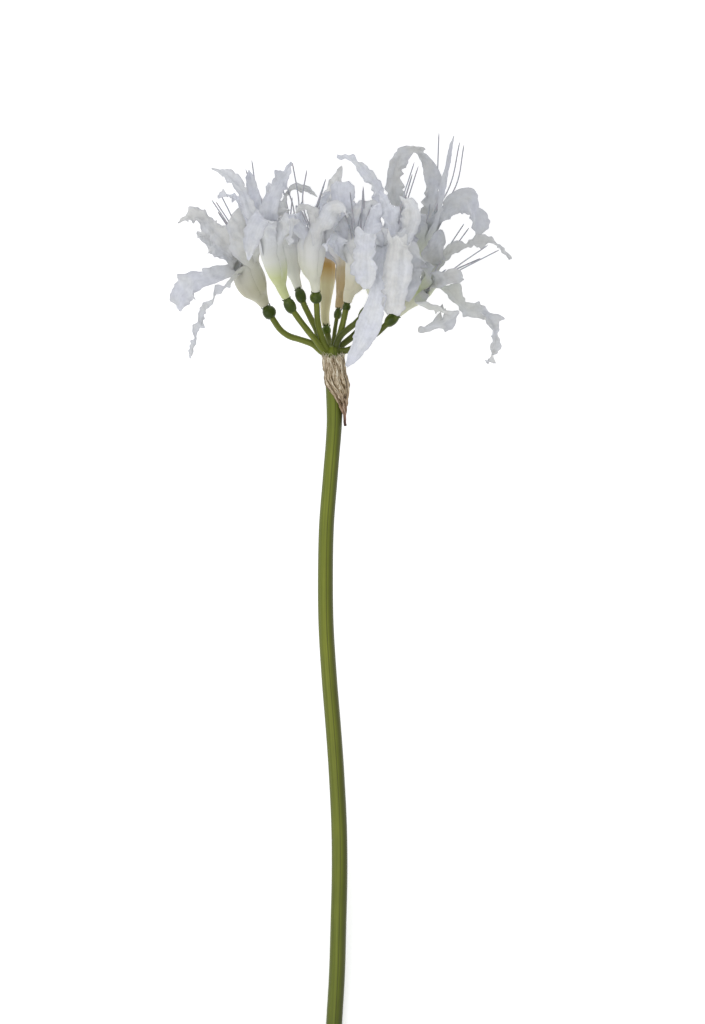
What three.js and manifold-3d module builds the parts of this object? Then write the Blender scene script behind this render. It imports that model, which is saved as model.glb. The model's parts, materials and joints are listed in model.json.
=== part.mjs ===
// A cut nerine stem with one open umbel, lying on a flat surface.
// Millimetres, +Z up. The stem lies along Y with its cut end at -Y.
//
// Nodes: scape (stem, pedicels and ovaries, one green body), two papery spathe
// valves, and ten blooms. Each bloom is one body: a funnel tube, six waved tepals
// in two layers, six stamens and a style.
import * as THREE from 'three';
import Module from 'manifold-3d';

const wasm = await Module();
wasm.setup();

// ---------------------------------------------------------------- dimensions
const GRID = 0.5;              // mm per step of the drawing grid
const UMBEL = [333, 355];      // grid point of the top of the scape
const GAP = 0.3;               // clearance between two nodes
const BLADE = 0.7;             // thickness of a tepal
const WALL = 1.0;              // wall of a bloom's funnel
const FILAMENT_R = 0.42;       // radius of a stamen's filament
const STYLE_R = 0.5;
const PEDICEL_R = 1.5;
const SCAPE_SIDES = 12;
const PEDICEL_SIDES = 6;
const OVARY_SIDES = 6;
const TUBE_SIDES = 8;
const SHEET = 0.7;             // thickness of the papery spathe
const SEAT = 0.35;             // gap between a bloom and its ovary
const SPATHE_LENGTH = 35;
const BACK_VALVE_LENGTH = 23;

// ---------------------------------------------------------------- helpers
const V = (a) => new THREE.Vector3(a[0], a[1], a[2]);
// A grid point: u to the right, v towards the cut end, z in mm above the surface.
const at = ([u, v, z]) => new THREE.Vector3((u - UMBEL[0]) * GRID, (UMBEL[1] - v) * GRID, z);
// Eases from 0 at a to 1 at b.
const smooth = (a, b, x) => {
  const t = Math.min(1, Math.max(0, (x - a) / (b - a)));
  return t * t * (3 - 2 * t);
};
const lookup = (table, x) => {
  if (x <= table[0][0]) return table[0][1];
  for (let i = 1; i < table.length; i++) {
    if (x <= table[i][0]) {
      const [x0, y0] = table[i - 1], [x1, y1] = table[i];
      return y0 + (y1 - y0) * (x - x0) / (x1 - x0);
    }
  }
  return table[table.length - 1][1];
};
const curve = (points) => new THREE.CatmullRomCurve3(points, false, 'centripetal');

function solid(vertices, triangles) {
  const flat = new Float32Array(vertices.length * 3);
  vertices.forEach((p, i) => { flat[3 * i] = p.x; flat[3 * i + 1] = p.y; flat[3 * i + 2] = p.z; });
  const made = new wasm.Manifold(new wasm.Mesh({
    numProp: 3, vertProperties: flat, triVerts: new Uint32Array(triangles.flat()),
  }));
  return made.volume() < 0 ? solid(vertices, triangles.map(([a, b, c]) => [a, c, b])) : made;
}

function union(parts) {
  let all = parts[0];
  for (const p of parts.slice(1)) all = all.add(p);
  const pieces = all.decompose().sort((a, b) => b.volume() - a.volume());
  return pieces[0];
}

function toMesh(name, body, material) {
  const mesh = body.getMesh();
  const geometry = new THREE.BufferGeometry();
  const n = mesh.numProp, count = mesh.vertProperties.length / n;
  const position = new Float32Array(count * 3);
  for (let i = 0; i < count; i++) for (let k = 0; k < 3; k++) position[3 * i + k] = mesh.vertProperties[n * i + k];
  geometry.setAttribute('position', new THREE.BufferAttribute(position, 3));
  geometry.setIndex(new THREE.BufferAttribute(new Uint32Array(mesh.triVerts), 1));
  geometry.computeVertexNormals();
  const made = new THREE.Mesh(geometry, material);
  made.name = name;
  return made;
}

// Frames carried along a curve without twist, starting from a side vector.
function frames(path, side, steps) {
  const out = [];
  let w = side.clone();
  for (let i = 0; i <= steps; i++) {
    const s = i / steps, p = path.getPointAt(s), t = path.getTangentAt(s).normalize();
    w = w.clone().addScaledVector(t, -w.dot(t)).normalize();
    out.push({ s, p, t, w, n: new THREE.Vector3().crossVectors(t, w) });
  }
  return out;
}

// A round bar along a path, with closed ends. It is flattened where it meets the surface.
function bar(path, radius, sides, steps, side = new THREE.Vector3(1, 0, 0)) {
  const rings = frames(path, side, steps), v = [], f = [];
  rings.forEach(({ s, p, w, n }) => {
    for (let k = 0; k < sides; k++) {
      const a = 2 * Math.PI * k / sides, r = radius(s);
      const q = p.clone().addScaledVector(w, r * Math.cos(a)).addScaledVector(n, r * Math.sin(a));
      q.z = Math.max(0, q.z);
      v.push(q);
    }
  });
  for (let i = 0; i < steps; i++) for (let k = 0; k < sides; k++) {
    const a = i * sides + k, b = i * sides + (k + 1) % sides, c = a + sides, d = b + sides;
    f.push([a, b, d], [a, d, c]);
  }
  const first = v.length; v.push(rings[0].p.clone());
  const last = v.length; v.push(rings[steps].p.clone());
  for (let k = 0; k < sides; k++) {
    const b = (k + 1) % sides, m = steps * sides;
    f.push([first, b, k], [last, m + k, m + b]);
  }
  return solid(v, f);
}

// A sheet given by its middle points and normals on a grid, with a thickness.
// Both faces are split into the same triangles.
function sheet(grid, thickness) {
  const rows = grid.length, cols = grid[0].length, v = [], f = [];
  const floor = (p, n) => {
    const top = p.clone().addScaledVector(n, thickness / 2), low = p.clone().addScaledVector(n, -thickness / 2);
    const rise = Math.max(0, -Math.min(top.z, low.z));
    top.z += rise; low.z += rise;
    return [top, low];
  };
  for (const row of grid) for (const { p, n } of row) v.push(...floor(p, n));
  const id = (i, j, k) => 2 * (i * cols + j) + k;
  for (let i = 0; i + 1 < rows; i++) for (let j = 0; j + 1 < cols; j++) {
    for (const k of [0, 1]) {
      const a = id(i, j, k), b = id(i, j + 1, k), c = id(i + 1, j + 1, k), d = id(i + 1, j, k);
      const split = (i + j) % 2 ? [[a, b, c], [a, c, d]] : [[a, b, d], [b, c, d]];
      for (const t of split) f.push(k ? [t[0], t[2], t[1]] : t);
    }
  }
  const wall = (i, j, i2, j2) => {
    f.push([id(i, j, 0), id(i, j, 1), id(i2, j2, 1)], [id(i, j, 0), id(i2, j2, 1), id(i2, j2, 0)]);
  };
  for (let i = 0; i + 1 < rows; i++) { wall(i + 1, 0, i, 0); wall(i, cols - 1, i + 1, cols - 1); }
  for (let j = 0; j + 1 < cols; j++) { wall(rows - 1, j + 1, rows - 1, j); wall(0, j, 0, j + 1); }
  return solid(v, f);
}

// ---------------------------------------------------------------- the blooms, drawn
// ovary and throat are grid points. axis is the way the mouth faces. Each tepal has
// its root angle round the mouth (0 right, 90 up or back), its width in mm, and the
// grid points it runs through. face is its turn at mid length: 0 is broadside to +Z
// and 90 is on edge. Tips of filaments come with a point they pass on the way.
const BLOOMS = [
  { name: 'bloom_01', r: 7.2, swell: 0.72, ovary: [269, 312.5, 50], size: [3.3, 3.4], throat: [246, 268, 57], axis: [-0.36, 0.91, 0.14],
    stalk: [[321.4, 351.6, 51], [313, 344.5, 52], [301, 340, 52], [288.8, 336, 51], [280.6, 330, 50], [273.5, 320, 50]],
    tepals: [
      { root: 205, width: 14, face: 15, waves: 3, form: 'round', run: [[234, 274, 62], [220, 276, 66], [206, 279, 66], [194, 284, 62], [184, 293, 56], [177, 306, 50]] },
      { root: 265, width: 5.2, face: 50, waves: 5, run: [[238, 275, 66], [230, 284, 70], [217, 295, 68], [206, 309, 63], [199, 326, 57], [194, 343, 52], [191, 359, 47]] },
      { root: 165, width: 10, face: 20, waves: 3, run: [[233, 262, 61], [223, 253, 59], [211, 242, 54], [197, 233, 46]] },
      { root: 125, width: 9.6, face: 15, waves: 3, run: [[237, 254, 62], [226, 242, 63], [213, 229, 61], [200, 218, 58], [188, 217, 54], [179, 224, 50]] },
      { root: 300, width: 11, face: 12, waves: 3, run: [[243, 254, 69], [240, 240, 73], [239, 226, 76], [241, 214, 77], [246, 206, 76]] },
      { root: 345, width: 9, face: 15, waves: 3, run: [[260, 252, 66], [265, 238, 71], [269, 225, 74], [278, 215, 74], [291, 211, 70]] }],
    stamens: [[[232, 231, 56], [212, 200.5, 56]], [[234, 231, 58], [216, 202, 58]], [[236, 228, 54], [220, 193, 54]],
      [[238, 240, 62], [239, 226, 62]], [[242, 236, 60], [243, 222, 58]], [[236, 240, 60], [232, 230, 58]], [[232, 234, 54], [218, 212, 54]]] },
  { name: 'bloom_02', r: 6.0, ovary: [290, 306, 64], size: [2.8, 4.4], throat: [272, 252, 82], axis: [-0.25, 0.88, 0.28],
    stalk: [[323.5, 350.6, 53], [316, 341, 56], [307, 330, 60], [295, 314, 63]],
    tepals: [
      { root: 120, width: 6.5, face: 20, waves: 3, run: [[262, 238, 86], [252, 216, 90], [243, 194, 90], [233, 181, 86], [223, 174, 80], [212, 170, 74]] },
      { root: 175, width: 6.5, face: 45, waves: 3, run: [[260, 244, 86], [250, 222, 84], [241, 204, 78], [231, 196, 72], [218, 199, 66]] },
      { root: 85, width: 7.5, face: 10, waves: 3, run: [[266, 236, 80], [259, 214, 78], [254, 194, 74], [249, 171, 70]] },
      { root: 40, width: 8.8, face: 15, waves: 3, run: [[274, 232, 88], [270, 213, 92], [275, 197, 92], [282, 183, 88], [292, 164, 82]] },
      { root: 250, width: 10.5, face: 10, waves: 3, run: [[268, 238, 93], [267, 226, 98], [263, 220, 105], [257, 229, 110], [252, 245, 110], [249, 262, 106]] },
      { root: 325, width: 7.5, face: 10, waves: 3, run: [[281, 240, 91], [285, 228, 96], [290, 221, 101], [292, 230, 104], [289, 247, 102]] }],
    stamens: [[[257, 206, 72], [246, 170, 62]], [[259, 206, 70], [252, 161, 62]], [[263, 216, 84], [262, 200, 80]],
      [[257, 220, 84], [249, 206, 80]], [[268, 216, 82], [269, 200, 80]], [[261, 222, 86], [256, 210, 84]], [[260, 212, 72], [252, 184, 64]]] },
  { name: 'bloom_03', r: 5.5, ovary: [300.7, 295.6, 40], size: [2.6, 4.0], throat: [288, 250, 26], axis: [-0.2, 0.85, -0.5],
    stalk: [[324, 350, 48], [316, 329, 45], [311, 319, 43], [304, 304.7, 41]],
    tepals: [
      { root: 280, width: 5.2, face: 65, waves: 3, run: [[287, 225, 34], [284, 203, 36], [290, 190, 34], [305, 187.6, 30], [317, 196, 26]] },
      { root: 210, width: 6, face: 20, waves: 3, run: [[278, 230, 28], [271, 205, 26], [268, 181, 22]] },
      { root: 150, width: 8, face: 15, waves: 3, run: [[274, 240, 16], [262, 226, 8], [248, 222, 2], [234, 228, 0]] },
      { root: 90, width: 7, face: 15, waves: 3, run: [[286, 234, 10], [282, 218, 4], [278, 205, 2], [276, 196, 4]] },
      { root: 30, width: 7, face: 20, waves: 3, run: [[298, 236, 17], [300, 222, 13], [298, 210, 11], [296, 204, 11]] },
      { root: 335, width: 6.5, face: 20, waves: 3, run: [[297, 236, 30], [300, 226, 34], [299, 217, 37], [293, 221, 40]] }],
    stamens: [[[299, 207, 40], [292.5, 163, 44]], [[294, 212, 34], [286, 184, 36]], [[284, 214, 22], [276, 190, 20]],
      [[290, 216, 18], [292, 196, 14]], [[280, 220, 22], [264, 200, 20]], [[296, 216, 24], [302, 200, 22]], [[288, 212, 28], [282, 186, 28]]] },
  { name: 'bloom_04', r: 6.6, ovary: [316.2, 298, 62], size: [3.0, 3.0], throat: [312, 248, 76], axis: [0.03, 0.92, 0.25],
    stalk: [[325.5, 346.5, 53], [318.4, 326, 58], [316.8, 305.7, 61]],
    tepals: [
      { root: 200, width: 7.5, face: 10, waves: 3, run: [[303, 240, 80], [296, 228, 80], [287, 224, 76], [279, 231, 70]] },
      { root: 145, width: 6, face: 25, waves: 3, run: [[301, 234, 72], [297, 223, 70], [292, 216, 66], [286, 220, 60]] },
      { root: 90, width: 6.5, face: 35, waves: 3, run: [[317, 228, 70], [321, 212, 64], [322, 201, 60], [330, 192, 56]] },
      { root: 30, width: 8, face: 15, waves: 3, run: [[324, 236, 79], [332, 222, 81], [341, 214, 79], [350, 217, 74]] },
      { root: 330, width: 10, face: 10, waves: 3, run: [[320, 236, 85], [326, 223, 90], [333, 213, 94], [342, 211, 97], [348, 220, 97]] },
      { root: 265, width: 5.8, face: 15, waves: 3, run: [[316, 234, 85], [315, 220, 87], [309, 210, 88], [301, 209, 88], [296, 215, 86]] }],
    stamens: [[[303, 205, 80], [307, 172, 84]], [[315.5, 213, 84], [326, 181, 90]], [[314, 226, 84], [320, 208, 86]],
      [[308, 228, 84], [302, 214, 84]], [[319, 228, 80], [330, 208, 80]], [[311, 230, 84], [309, 218, 84]], [[316, 216, 82], [325, 184, 88]]] },
  { name: 'bloom_05', r: 4.5, ovary: [326.5, 330, 38], size: [2.3, 2.4], throat: [327, 262, 24], axis: [0.0, 0.9, -0.4],
    stalk: [[330.6, 350.6, 46], [328.6, 339, 40]],
    tepals: [
      { root: 275, width: 7, face: 25, waves: 3, run: [[330, 240, 30], [332, 222, 30], [330, 205, 28], [322, 193, 24]] },
      { root: 330, width: 7, face: 20, waves: 3, run: [[338, 246, 26], [346, 230, 24], [350, 214, 20], [346, 202, 16]] },
      { root: 215, width: 7, face: 20, waves: 3, run: [[316, 248, 24], [310, 238, 20], [302, 234, 14], [294, 238, 8]] },
      { root: 150, width: 8, face: 15, waves: 3, run: [[318, 250, 14], [310, 240, 5], [302, 240, 0], [292, 248, 0]] },
      { root: 90, width: 7, face: 15, waves: 3, run: [[328, 248, 9], [330, 234, 2], [331, 220, 0], [333, 210, 2]] },
      { root: 30, width: 8, face: 15, waves: 3, run: [[340, 250, 13], [350, 240, 5], [361, 238, 0], [372, 244, 0]] }],
    stamens: [[[329, 226, 26], [330, 198, 26]], [[334, 228, 22], [340, 206, 20]], [[322, 232, 20], [316, 218, 16]],
      [[328, 230, 16], [328, 206, 10]], [[336, 236, 16], [344, 220, 10]], [[320, 238, 16], [308, 228, 10]], [[332, 224, 20], [336, 200, 16]]] },
  { name: 'bloom_06', r: 5.2, ovary: [337.7, 314, 44], size: [1.9, 2.8], throat: [347, 266, 44], axis: [0.12, 0.9, -0.15],
    stalk: [[333.7, 341, 49], [336, 323, 46]],
    tepals: [
      { root: 270, width: 9.5, face: 15, waves: 3, run: [[344, 246, 50], [343, 222, 52], [337, 203, 50], [334, 188, 46], [342, 166, 42]] },
      { root: 330, width: 6.4, face: 20, waves: 3, run: [[352, 250, 44], [358, 232, 42], [360, 214, 38], [354, 200, 34]] },
      { root: 30, width: 6.4, face: 15, waves: 3, run: [[354, 254, 38], [364, 244, 34], [374, 242, 28], [384, 248, 22]] },
      { root: 90, width: 6.4, face: 15, waves: 3, run: [[342, 250, 35], [345, 234, 31], [348, 218, 30], [350, 204, 30]] },
      { root: 150, width: 6.2, face: 15, waves: 3, run: [[328, 254, 38], [319, 244, 36], [310, 242, 32], [301, 248, 28]] },
      { root: 210, width: 6, face: 20, waves: 3, run: [[332, 246, 46], [328, 232, 46], [323, 218, 44], [320, 208, 40]] }],
    stamens: [[[341, 230, 46], [338, 200, 46]], [[348, 232, 44], [354, 206, 44]], [[336, 234, 42], [330, 212, 40]],
      [[350, 236, 38], [360, 216, 34]], [[342, 236, 38], [342, 212, 34]], [[334, 240, 38], [324, 226, 34]], [[344, 228, 42], [346, 200, 40]]] },
  { name: 'bloom_07', r: 6.2, swell: 0.85, ovary: [346.3, 307.3, 56], size: [2.0, 2.2], throat: [358, 261, 66], axis: [0.03, 0.94, 0.25],
    stalk: [[335.7, 347.6, 52], [341, 331, 54], [345, 314, 56]],
    tepals: [
      { root: 60, width: 7, face: 20, waves: 4, run: [[364, 240, 62], [374, 221, 58], [380, 203, 56], [377, 187, 56], [367, 174, 58], [355, 161, 60], [337, 156, 62]] },
      { root: 115, width: 13, face: 10, waves: 3, form: 'round', run: [[347, 240, 66], [345, 220, 69], [343, 202, 70], [342, 183, 67]] },
      { root: 0, width: 7.5, face: 15, waves: 3, run: [[366, 250, 70], [376, 238, 74], [384, 240, 76], [388, 252, 74]] },
      { root: 180, width: 7.5, face: 15, waves: 3, run: [[340, 250, 75], [334, 240, 83], [328, 242, 88], [325, 253, 89]] },
      { root: 240, width: 10, face: 12, waves: 3, run: [[347, 246, 73], [342, 231, 76], [335, 217, 77], [328, 211, 76], [322, 217, 73]] },
      { root: 300, width: 10, face: 12, waves: 3, run: [[356, 246, 73], [359, 228, 76], [364, 213, 78], [372, 206, 78], [379, 213, 75]] }],
    stamens: [[[364, 208, 78], [363, 188, 80]], [[354, 224, 80], [350, 194, 88]], [[350, 232, 78], [344, 214, 80]],
      [[357, 232, 78], [361, 214, 80]], [[364, 228, 76], [372, 206, 78]], [[353, 234, 78], [351, 220, 80]], [[362, 212, 80], [363, 190, 82]]] },
  { name: 'bloom_08', r: 6.5, ovary: [365, 314, 62], size: [3.0, 4.0], throat: [383, 268, 90], axis: [0.20, 0.93, 0.22],
    stalk: [[337.8, 341, 53], [341.8, 335, 55], [356, 323, 60]],
    tepals: [
      { root: 265, width: 11.6, face: 12, waves: 3, form: 'late', run: [[383, 255, 98], [382, 249, 103], [381, 256, 108], [380, 270, 110], [379, 288, 109], [376, 306, 106], [370, 325, 101], [361.5, 344, 95], [347, 367, 87]] },
      { root: 90, width: 8.5, face: 15, waves: 3, run: [[388, 246, 90], [390, 226, 88], [386, 206, 82], [379, 193, 74]] },
      { root: 145, width: 9.5, face: 15, waves: 3, run: [[375, 252, 94], [373, 236, 94], [374, 220, 90], [378, 204, 84]] },
      { root: 222, width: 12, face: 12, waves: 3, form: 'blunt', run: [[378, 252, 100], [373, 241, 107], [367, 237, 113], [365, 248, 117], [365, 268, 116], [367, 291, 112]] },
      { root: 35, width: 10, face: 15, waves: 3, run: [[396, 252, 92], [405, 238, 93], [411, 222, 91], [409, 206, 88], [400, 198, 84]] },
      { root: 315, width: 14, face: 10, waves: 3, form: 'blunt', run: [[390, 252, 99], [395, 241, 106], [398, 246, 113], [397, 266, 115], [395, 290, 112], [391, 315, 105]] }],
    stamens: [[[399, 212, 82], [414, 164, 84]], [[403, 214, 80], [418, 168, 80]], [[391, 240, 88], [393, 224, 86]],
      [[385, 242, 88], [381, 228, 86]], [[397, 240, 86], [402, 228, 84]], [[389, 246, 88], [390, 234, 88]], [[400, 216, 80], [412, 176, 80]]] },
  { name: 'bloom_09', r: 5.4, ovary: [384, 290, 40], size: [3.0, 4.0], throat: [421, 240, 50], axis: [0.45, 0.8, 0.15],
    stalk: [[341.8, 345.5, 48], [353, 336, 45], [368, 318, 42], [378, 302, 41]],
    tepals: [
      { root: 165, width: 9, face: 12, waves: 3, run: [[409, 224, 52], [397, 203, 54], [394, 180, 56], [399, 161, 56], [410, 150, 54], [424, 151, 50]] },
      { root: 100, width: 8.6, face: 15, waves: 3, run: [[425, 218, 44], [432, 197, 42], [432, 178, 42], [426, 161, 43], [413, 148, 45]] },
      { root: 30, width: 12.5, face: 10, waves: 3, form: 'late', run: [[435, 228, 52], [445, 214, 56], [456, 204, 58], [467, 202, 58], [474, 210, 54], [477, 222, 50], [478, 239, 46]] },
      { root: 330, width: 4.2, face: 40, waves: 3, run: [[438, 220, 60], [442, 195, 66], [447, 168, 70], [454, 137, 72]] },
      { root: 265, width: 13, face: 12, waves: 3, run: [[418, 228, 60], [415, 217, 65], [409, 219, 69], [405, 236, 69], [404, 258, 66], [407, 280, 62]] },
      { root: 140, width: 8.5, face: 15, waves: 3, run: [[411, 230, 38], [403, 224, 20], [396, 223, 6], [388, 227, 0]] }],
    stamens: [[[436, 190, 36], [439, 133, 44]], [[444, 180, 54], [451, 146, 62]], [[449, 188, 50], [459.5, 143, 58]],
      [[455, 188, 46], [464, 145, 48]], [[428, 216, 48], [430, 204, 46]], [[436, 214, 50], [441, 202, 50]], [[441, 196, 50], [450, 158, 56]]] },
  { name: 'bloom_10', r: 4.2, ovary: [391.8, 320, 58], size: [2.8, 4.2], throat: [424, 290, 62], axis: [0.65, 0.62, 0.15],
    stalk: [[334.7, 351.6, 51], [347, 350.6, 53], [362, 343, 56], [377.6, 333, 58], [385, 326, 58]],
    tepals: [
      { root: 345, width: 8.4, face: 20, waves: 5, form: 'early', run: [[437, 288, 66], [449, 290, 70], [457, 300, 70], [466, 310, 68], [479, 311, 64], [489, 317, 60], [495, 332, 56], [494, 349, 52], [488, 364, 46]] },
      { root: 280, width: 10, face: 8, waves: 4, form: 'early', run: [[418, 303, 70], [427, 309, 75], [439, 311, 76], [450, 315, 72], [447, 322, 66], [436, 327, 62], [418, 332, 58]] },
      { root: 75, width: 6, face: 35, waves: 4, run: [[432, 272, 58], [441, 262, 56], [451, 251, 54], [464, 246, 53], [479, 241.5, 52], [493, 243.5, 50], [503, 250, 48], [508, 260, 44]] },
      { root: 10, width: 8, face: 10, waves: 3, form: 'blunt', run: [[435, 285, 72], [444, 280, 79], [453, 277.5, 80], [462, 279, 77]] },
      { root: 130, width: 11, face: 10, waves: 3, run: [[425, 274, 58], [431, 259, 58], [436, 245, 60], [441, 230, 60]] },
      { root: 235, width: 13, face: 12, waves: 3, run: [[424, 279, 71], [422, 265, 76], [417, 258, 80], [412, 267, 82], [410, 284, 82], [408, 302, 78]] }],
    stamens: [[[453, 270, 64], [487.5, 246, 68]], [[457, 272, 62], [499, 250.5, 64]], [[444, 254, 52], [464, 224, 54]],
      [[448, 256, 50], [469, 228, 50]], [[438, 276, 64], [446, 270, 64]], [[436, 270, 62], [441, 262, 62]], [[452, 272, 62], [480, 259, 62]]] },
];

// Width of a tepal along its length, as a share of its full width.
const FORMS = {
  pointed: [[0, 0.36], [0.1, 0.46], [0.3, 0.84], [0.5, 1], [0.68, 0.95], [0.84, 0.68], [0.95, 0.36], [1, 0.14]],
  early: [[0, 0.36], [0.1, 0.6], [0.25, 1], [0.45, 0.86], [0.7, 0.72], [0.9, 0.55], [1, 0.16]],
  late: [[0, 0.36], [0.15, 0.44], [0.35, 0.66], [0.55, 0.92], [0.7, 1], [0.82, 0.86], [0.92, 0.56], [1, 0.14]],
  blunt: [[0, 0.26], [0.1, 0.34], [0.3, 0.7], [0.5, 0.88], [0.7, 1], [0.85, 0.98], [0.95, 0.72], [1, 0.4]],
  round: [[0, 0.3], [0.2, 0.46], [0.4, 0.6], [0.58, 0.78], [0.74, 0.98], [0.86, 1], [0.94, 0.86], [1, 0.5]],
};

// ---------------------------------------------------------------- one bloom
function mouth(bloom) {
  const c = at(bloom.throat), a = V(bloom.axis).normalize();
  const e1 = new THREE.Vector3(1, 0, 0).addScaledVector(a, -a.x).normalize();
  const e2 = new THREE.Vector3().crossVectors(a, e1);
  const o = at(bloom.ovary), lastStalk = at(bloom.stalk[bloom.stalk.length - 1]);
  const up = c.clone().sub(o).normalize().add(o.clone().sub(lastStalk).normalize()).normalize();
  const seat = o.clone().addScaledVector(up, bloom.size[1] + SEAT);
  const tube = curve([seat, seat.clone().addScaledVector(up, 5), c.clone().addScaledVector(a, -9), c]);
  return { c, a, e1, e2, o, up, seat, tube };
}

const tubeRadius = (bloom, s) => 1.8 + (bloom.r - 1.2) * smooth(-0.15, bloom.swell ?? 1.05, s);

// The funnel: solid at the foot, hollow from a third of the way up.
function funnel(bloom, m, grow = 0) {
  const outer = [0, 0.25, 0.6, 1], inner = [1, 0.65, 0.35];
  const wide = (s) => tubeRadius(bloom, s);
  const all = frames(m.tube, m.e1, 40), ring = (s) => all[Math.round(s * 40)];
  const v = [], f = [], K = TUBE_SIDES, rows = [];
  const add = (s, r) => {
    const { p, w, n } = ring(s);
    rows.push(v.length);
    for (let k = 0; k < K; k++) {
      const t = 2 * Math.PI * k / K;
      v.push(p.clone().addScaledVector(w, r * Math.cos(t)).addScaledVector(n, r * Math.sin(t)));
    }
  };
  for (const s of outer) add(s, wide(s) + grow);
  for (const s of inner) add(s, Math.max(0.4, wide(s) - WALL - (s < 0.5 ? 0.5 : 0) - grow));
  for (let i = 0; i + 1 < rows.length; i++) for (let k = 0; k < K; k++) {
    const a = rows[i] + k, b = rows[i] + (k + 1) % K, c = rows[i + 1] + k, d = rows[i + 1] + (k + 1) % K;
    f.push([a, b, d], [a, d, c]);
  }
  const foot = v.length; v.push(ring(0).p.clone());
  const floor = v.length; v.push(ring(inner[inner.length - 1]).p.clone());
  const top = rows[rows.length - 1];
  for (let k = 0; k < K; k++) {
    f.push([foot, (k + 1) % K, k], [floor, top + k, top + (k + 1) % K]);
  }
  return solid(v, f);
}

// The run of a tepal: sunk in the funnel's wall, over the rim, then as drawn.
// lift raises or lowers it towards its tip; cut keeps that share of its length.
function tepalFrames(bloom, m, tepal, lift, cut, steps) {
  const t = tepal.root * Math.PI / 180;
  const out = m.e1.clone().multiplyScalar(Math.cos(t)).addScaledVector(m.e2, Math.sin(t));
  const root = m.tube.getPointAt(0.85).addScaledVector(out, tubeRadius(bloom, 0.85) - WALL / 2);
  const rim = m.c.clone().addScaledVector(out, tubeRadius(bloom, 1) - WALL / 2);
  const path = curve([root, rim, ...tepal.run.map(at)]);
  const side = new THREE.Vector3().crossVectors(m.a, out);
  const fine = frames(path, side, 60);
  const mid = fine[36], across = new THREE.Vector3().crossVectors(mid.t, new THREE.Vector3(0, 0, 1));
  let roll = 0;
  if (across.length() > 0.35) {
    across.normalize();
    if (across.dot(mid.w) < 0) across.negate();
    roll = Math.atan2(mid.n.dot(across), mid.w.dot(across)) + (tepal.face ?? 0) * Math.PI / 180 * (mid.n.dot(across) < 0 ? 1 : -1);
  }
  return Array.from({ length: steps + 1 }, (_, i) => {
    const s = i / steps, { p, w, n } = fine[Math.round(60 * s * cut)];
    const a = roll * smooth(0.08, 0.6, s * cut);
    const side2 = w.clone().multiplyScalar(Math.cos(a)).addScaledVector(n, Math.sin(a));
    const face = n.clone().multiplyScalar(Math.cos(a)).addScaledVector(w, -Math.sin(a));
    const rise = lift * smooth(0.05, 1, s * cut);
    return { s, p: p.clone().add(new THREE.Vector3(0, 0, rise)), w: side2, n: face };
  });
}

function tepalBlade(bloom, m, tepal, index, lift = 0, cut = 1, grow = 0) {
  const narrow = tepal.width < 10.1, steps = tepal.waves >= 4 || tepal.run.length > 8 ? 11 : 8, rows = tepalFrames(bloom, m, tepal, lift, cut, steps);
  const table = FORMS[tepal.form ?? 'pointed'];
  const turn = 2 * Math.PI * tepal.waves, phase = 1.3 * index + bloom.r;
  return sheet(rows.map(({ s, p, w, n }) => {
    const half = tepal.width / 2 * lookup(table, s) + grow;
    const ripple = 0.24 * tepal.width * smooth(0.12, 0.35, s) * (1 - 0.5 * smooth(0.85, 1, s));
    return (narrow ? [-1, 1] : [-1, 0, 1]).map((k) => {
      const wave = k ? ripple * Math.sin(turn * s + phase + (k > 0 ? 2.0 : 0)) + 0.09 * tepal.width : 0;
      const reach = k * half * (1 + 0.1 * Math.sin(turn * s + phase + 1));
      return { p: p.clone().addScaledVector(w, reach).addScaledVector(n, wave), n };
    });
  }), BLADE + 2 * grow);
}

function filament(bloom, m, points, index, lift = 0, cut = 1, grow = 0) {
  const t = 2 * Math.PI * index / 6 + 0.4, style = index === 6;
  const out = m.e1.clone().multiplyScalar(Math.cos(t)).addScaledVector(m.e2, Math.sin(t));
  const shift = style ? 0 : 1;
  const path = curve([
    m.tube.getPointAt(0.24).addScaledVector(out, 1.3 * shift), m.tube.getPointAt(0.6).addScaledVector(out, 1.6 * shift),
    m.c.clone().addScaledVector(out, 2.4 * shift), ...points.map(at)]);
  const full = frames(path, new THREE.Vector3(1, 0, 0), 60), steps = 3;
  const kept = curve(Array.from({ length: steps + 1 }, (_, i) => {
    const f = full[Math.round(60 * cut * i / steps)];
    return f.p.clone().add(new THREE.Vector3(0, 0, lift * smooth(0.2, 1, f.s)));
  }));
  const r = style ? STYLE_R : FILAMENT_R;
  return bar(kept, (s) => r * (1 - 0.3 * s) + grow, 3, steps);
}

// ---------------------------------------------------------------- the green body
const SCAPE_RUN = [[333, 347, 51.5], [333.5, 355, 51], [334.5, 390, 49.5], [334.3, 425, 47.6], [330.5, 475, 43.8], [326.5, 525, 39.5],
  [325.5, 575, 35], [326, 625, 30.6], [329, 675, 26.4], [333, 725, 22.6], [336.5, 775, 19.2], [339, 825, 16.1],
  [339.5, 875, 13.2], [338.5, 925, 10.4], [337, 975, 7.4], [334.5, 1020, 5.2], [331, 1085, 3.9]];
const SCAPE_R = [[0, 3.4], [0.008, 4.4], [0.02, 4.8], [0.06, 4.3], [0.1, 3.85], [0.14, 3.7], [0.5, 3.9], [1, 4.1]];

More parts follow.
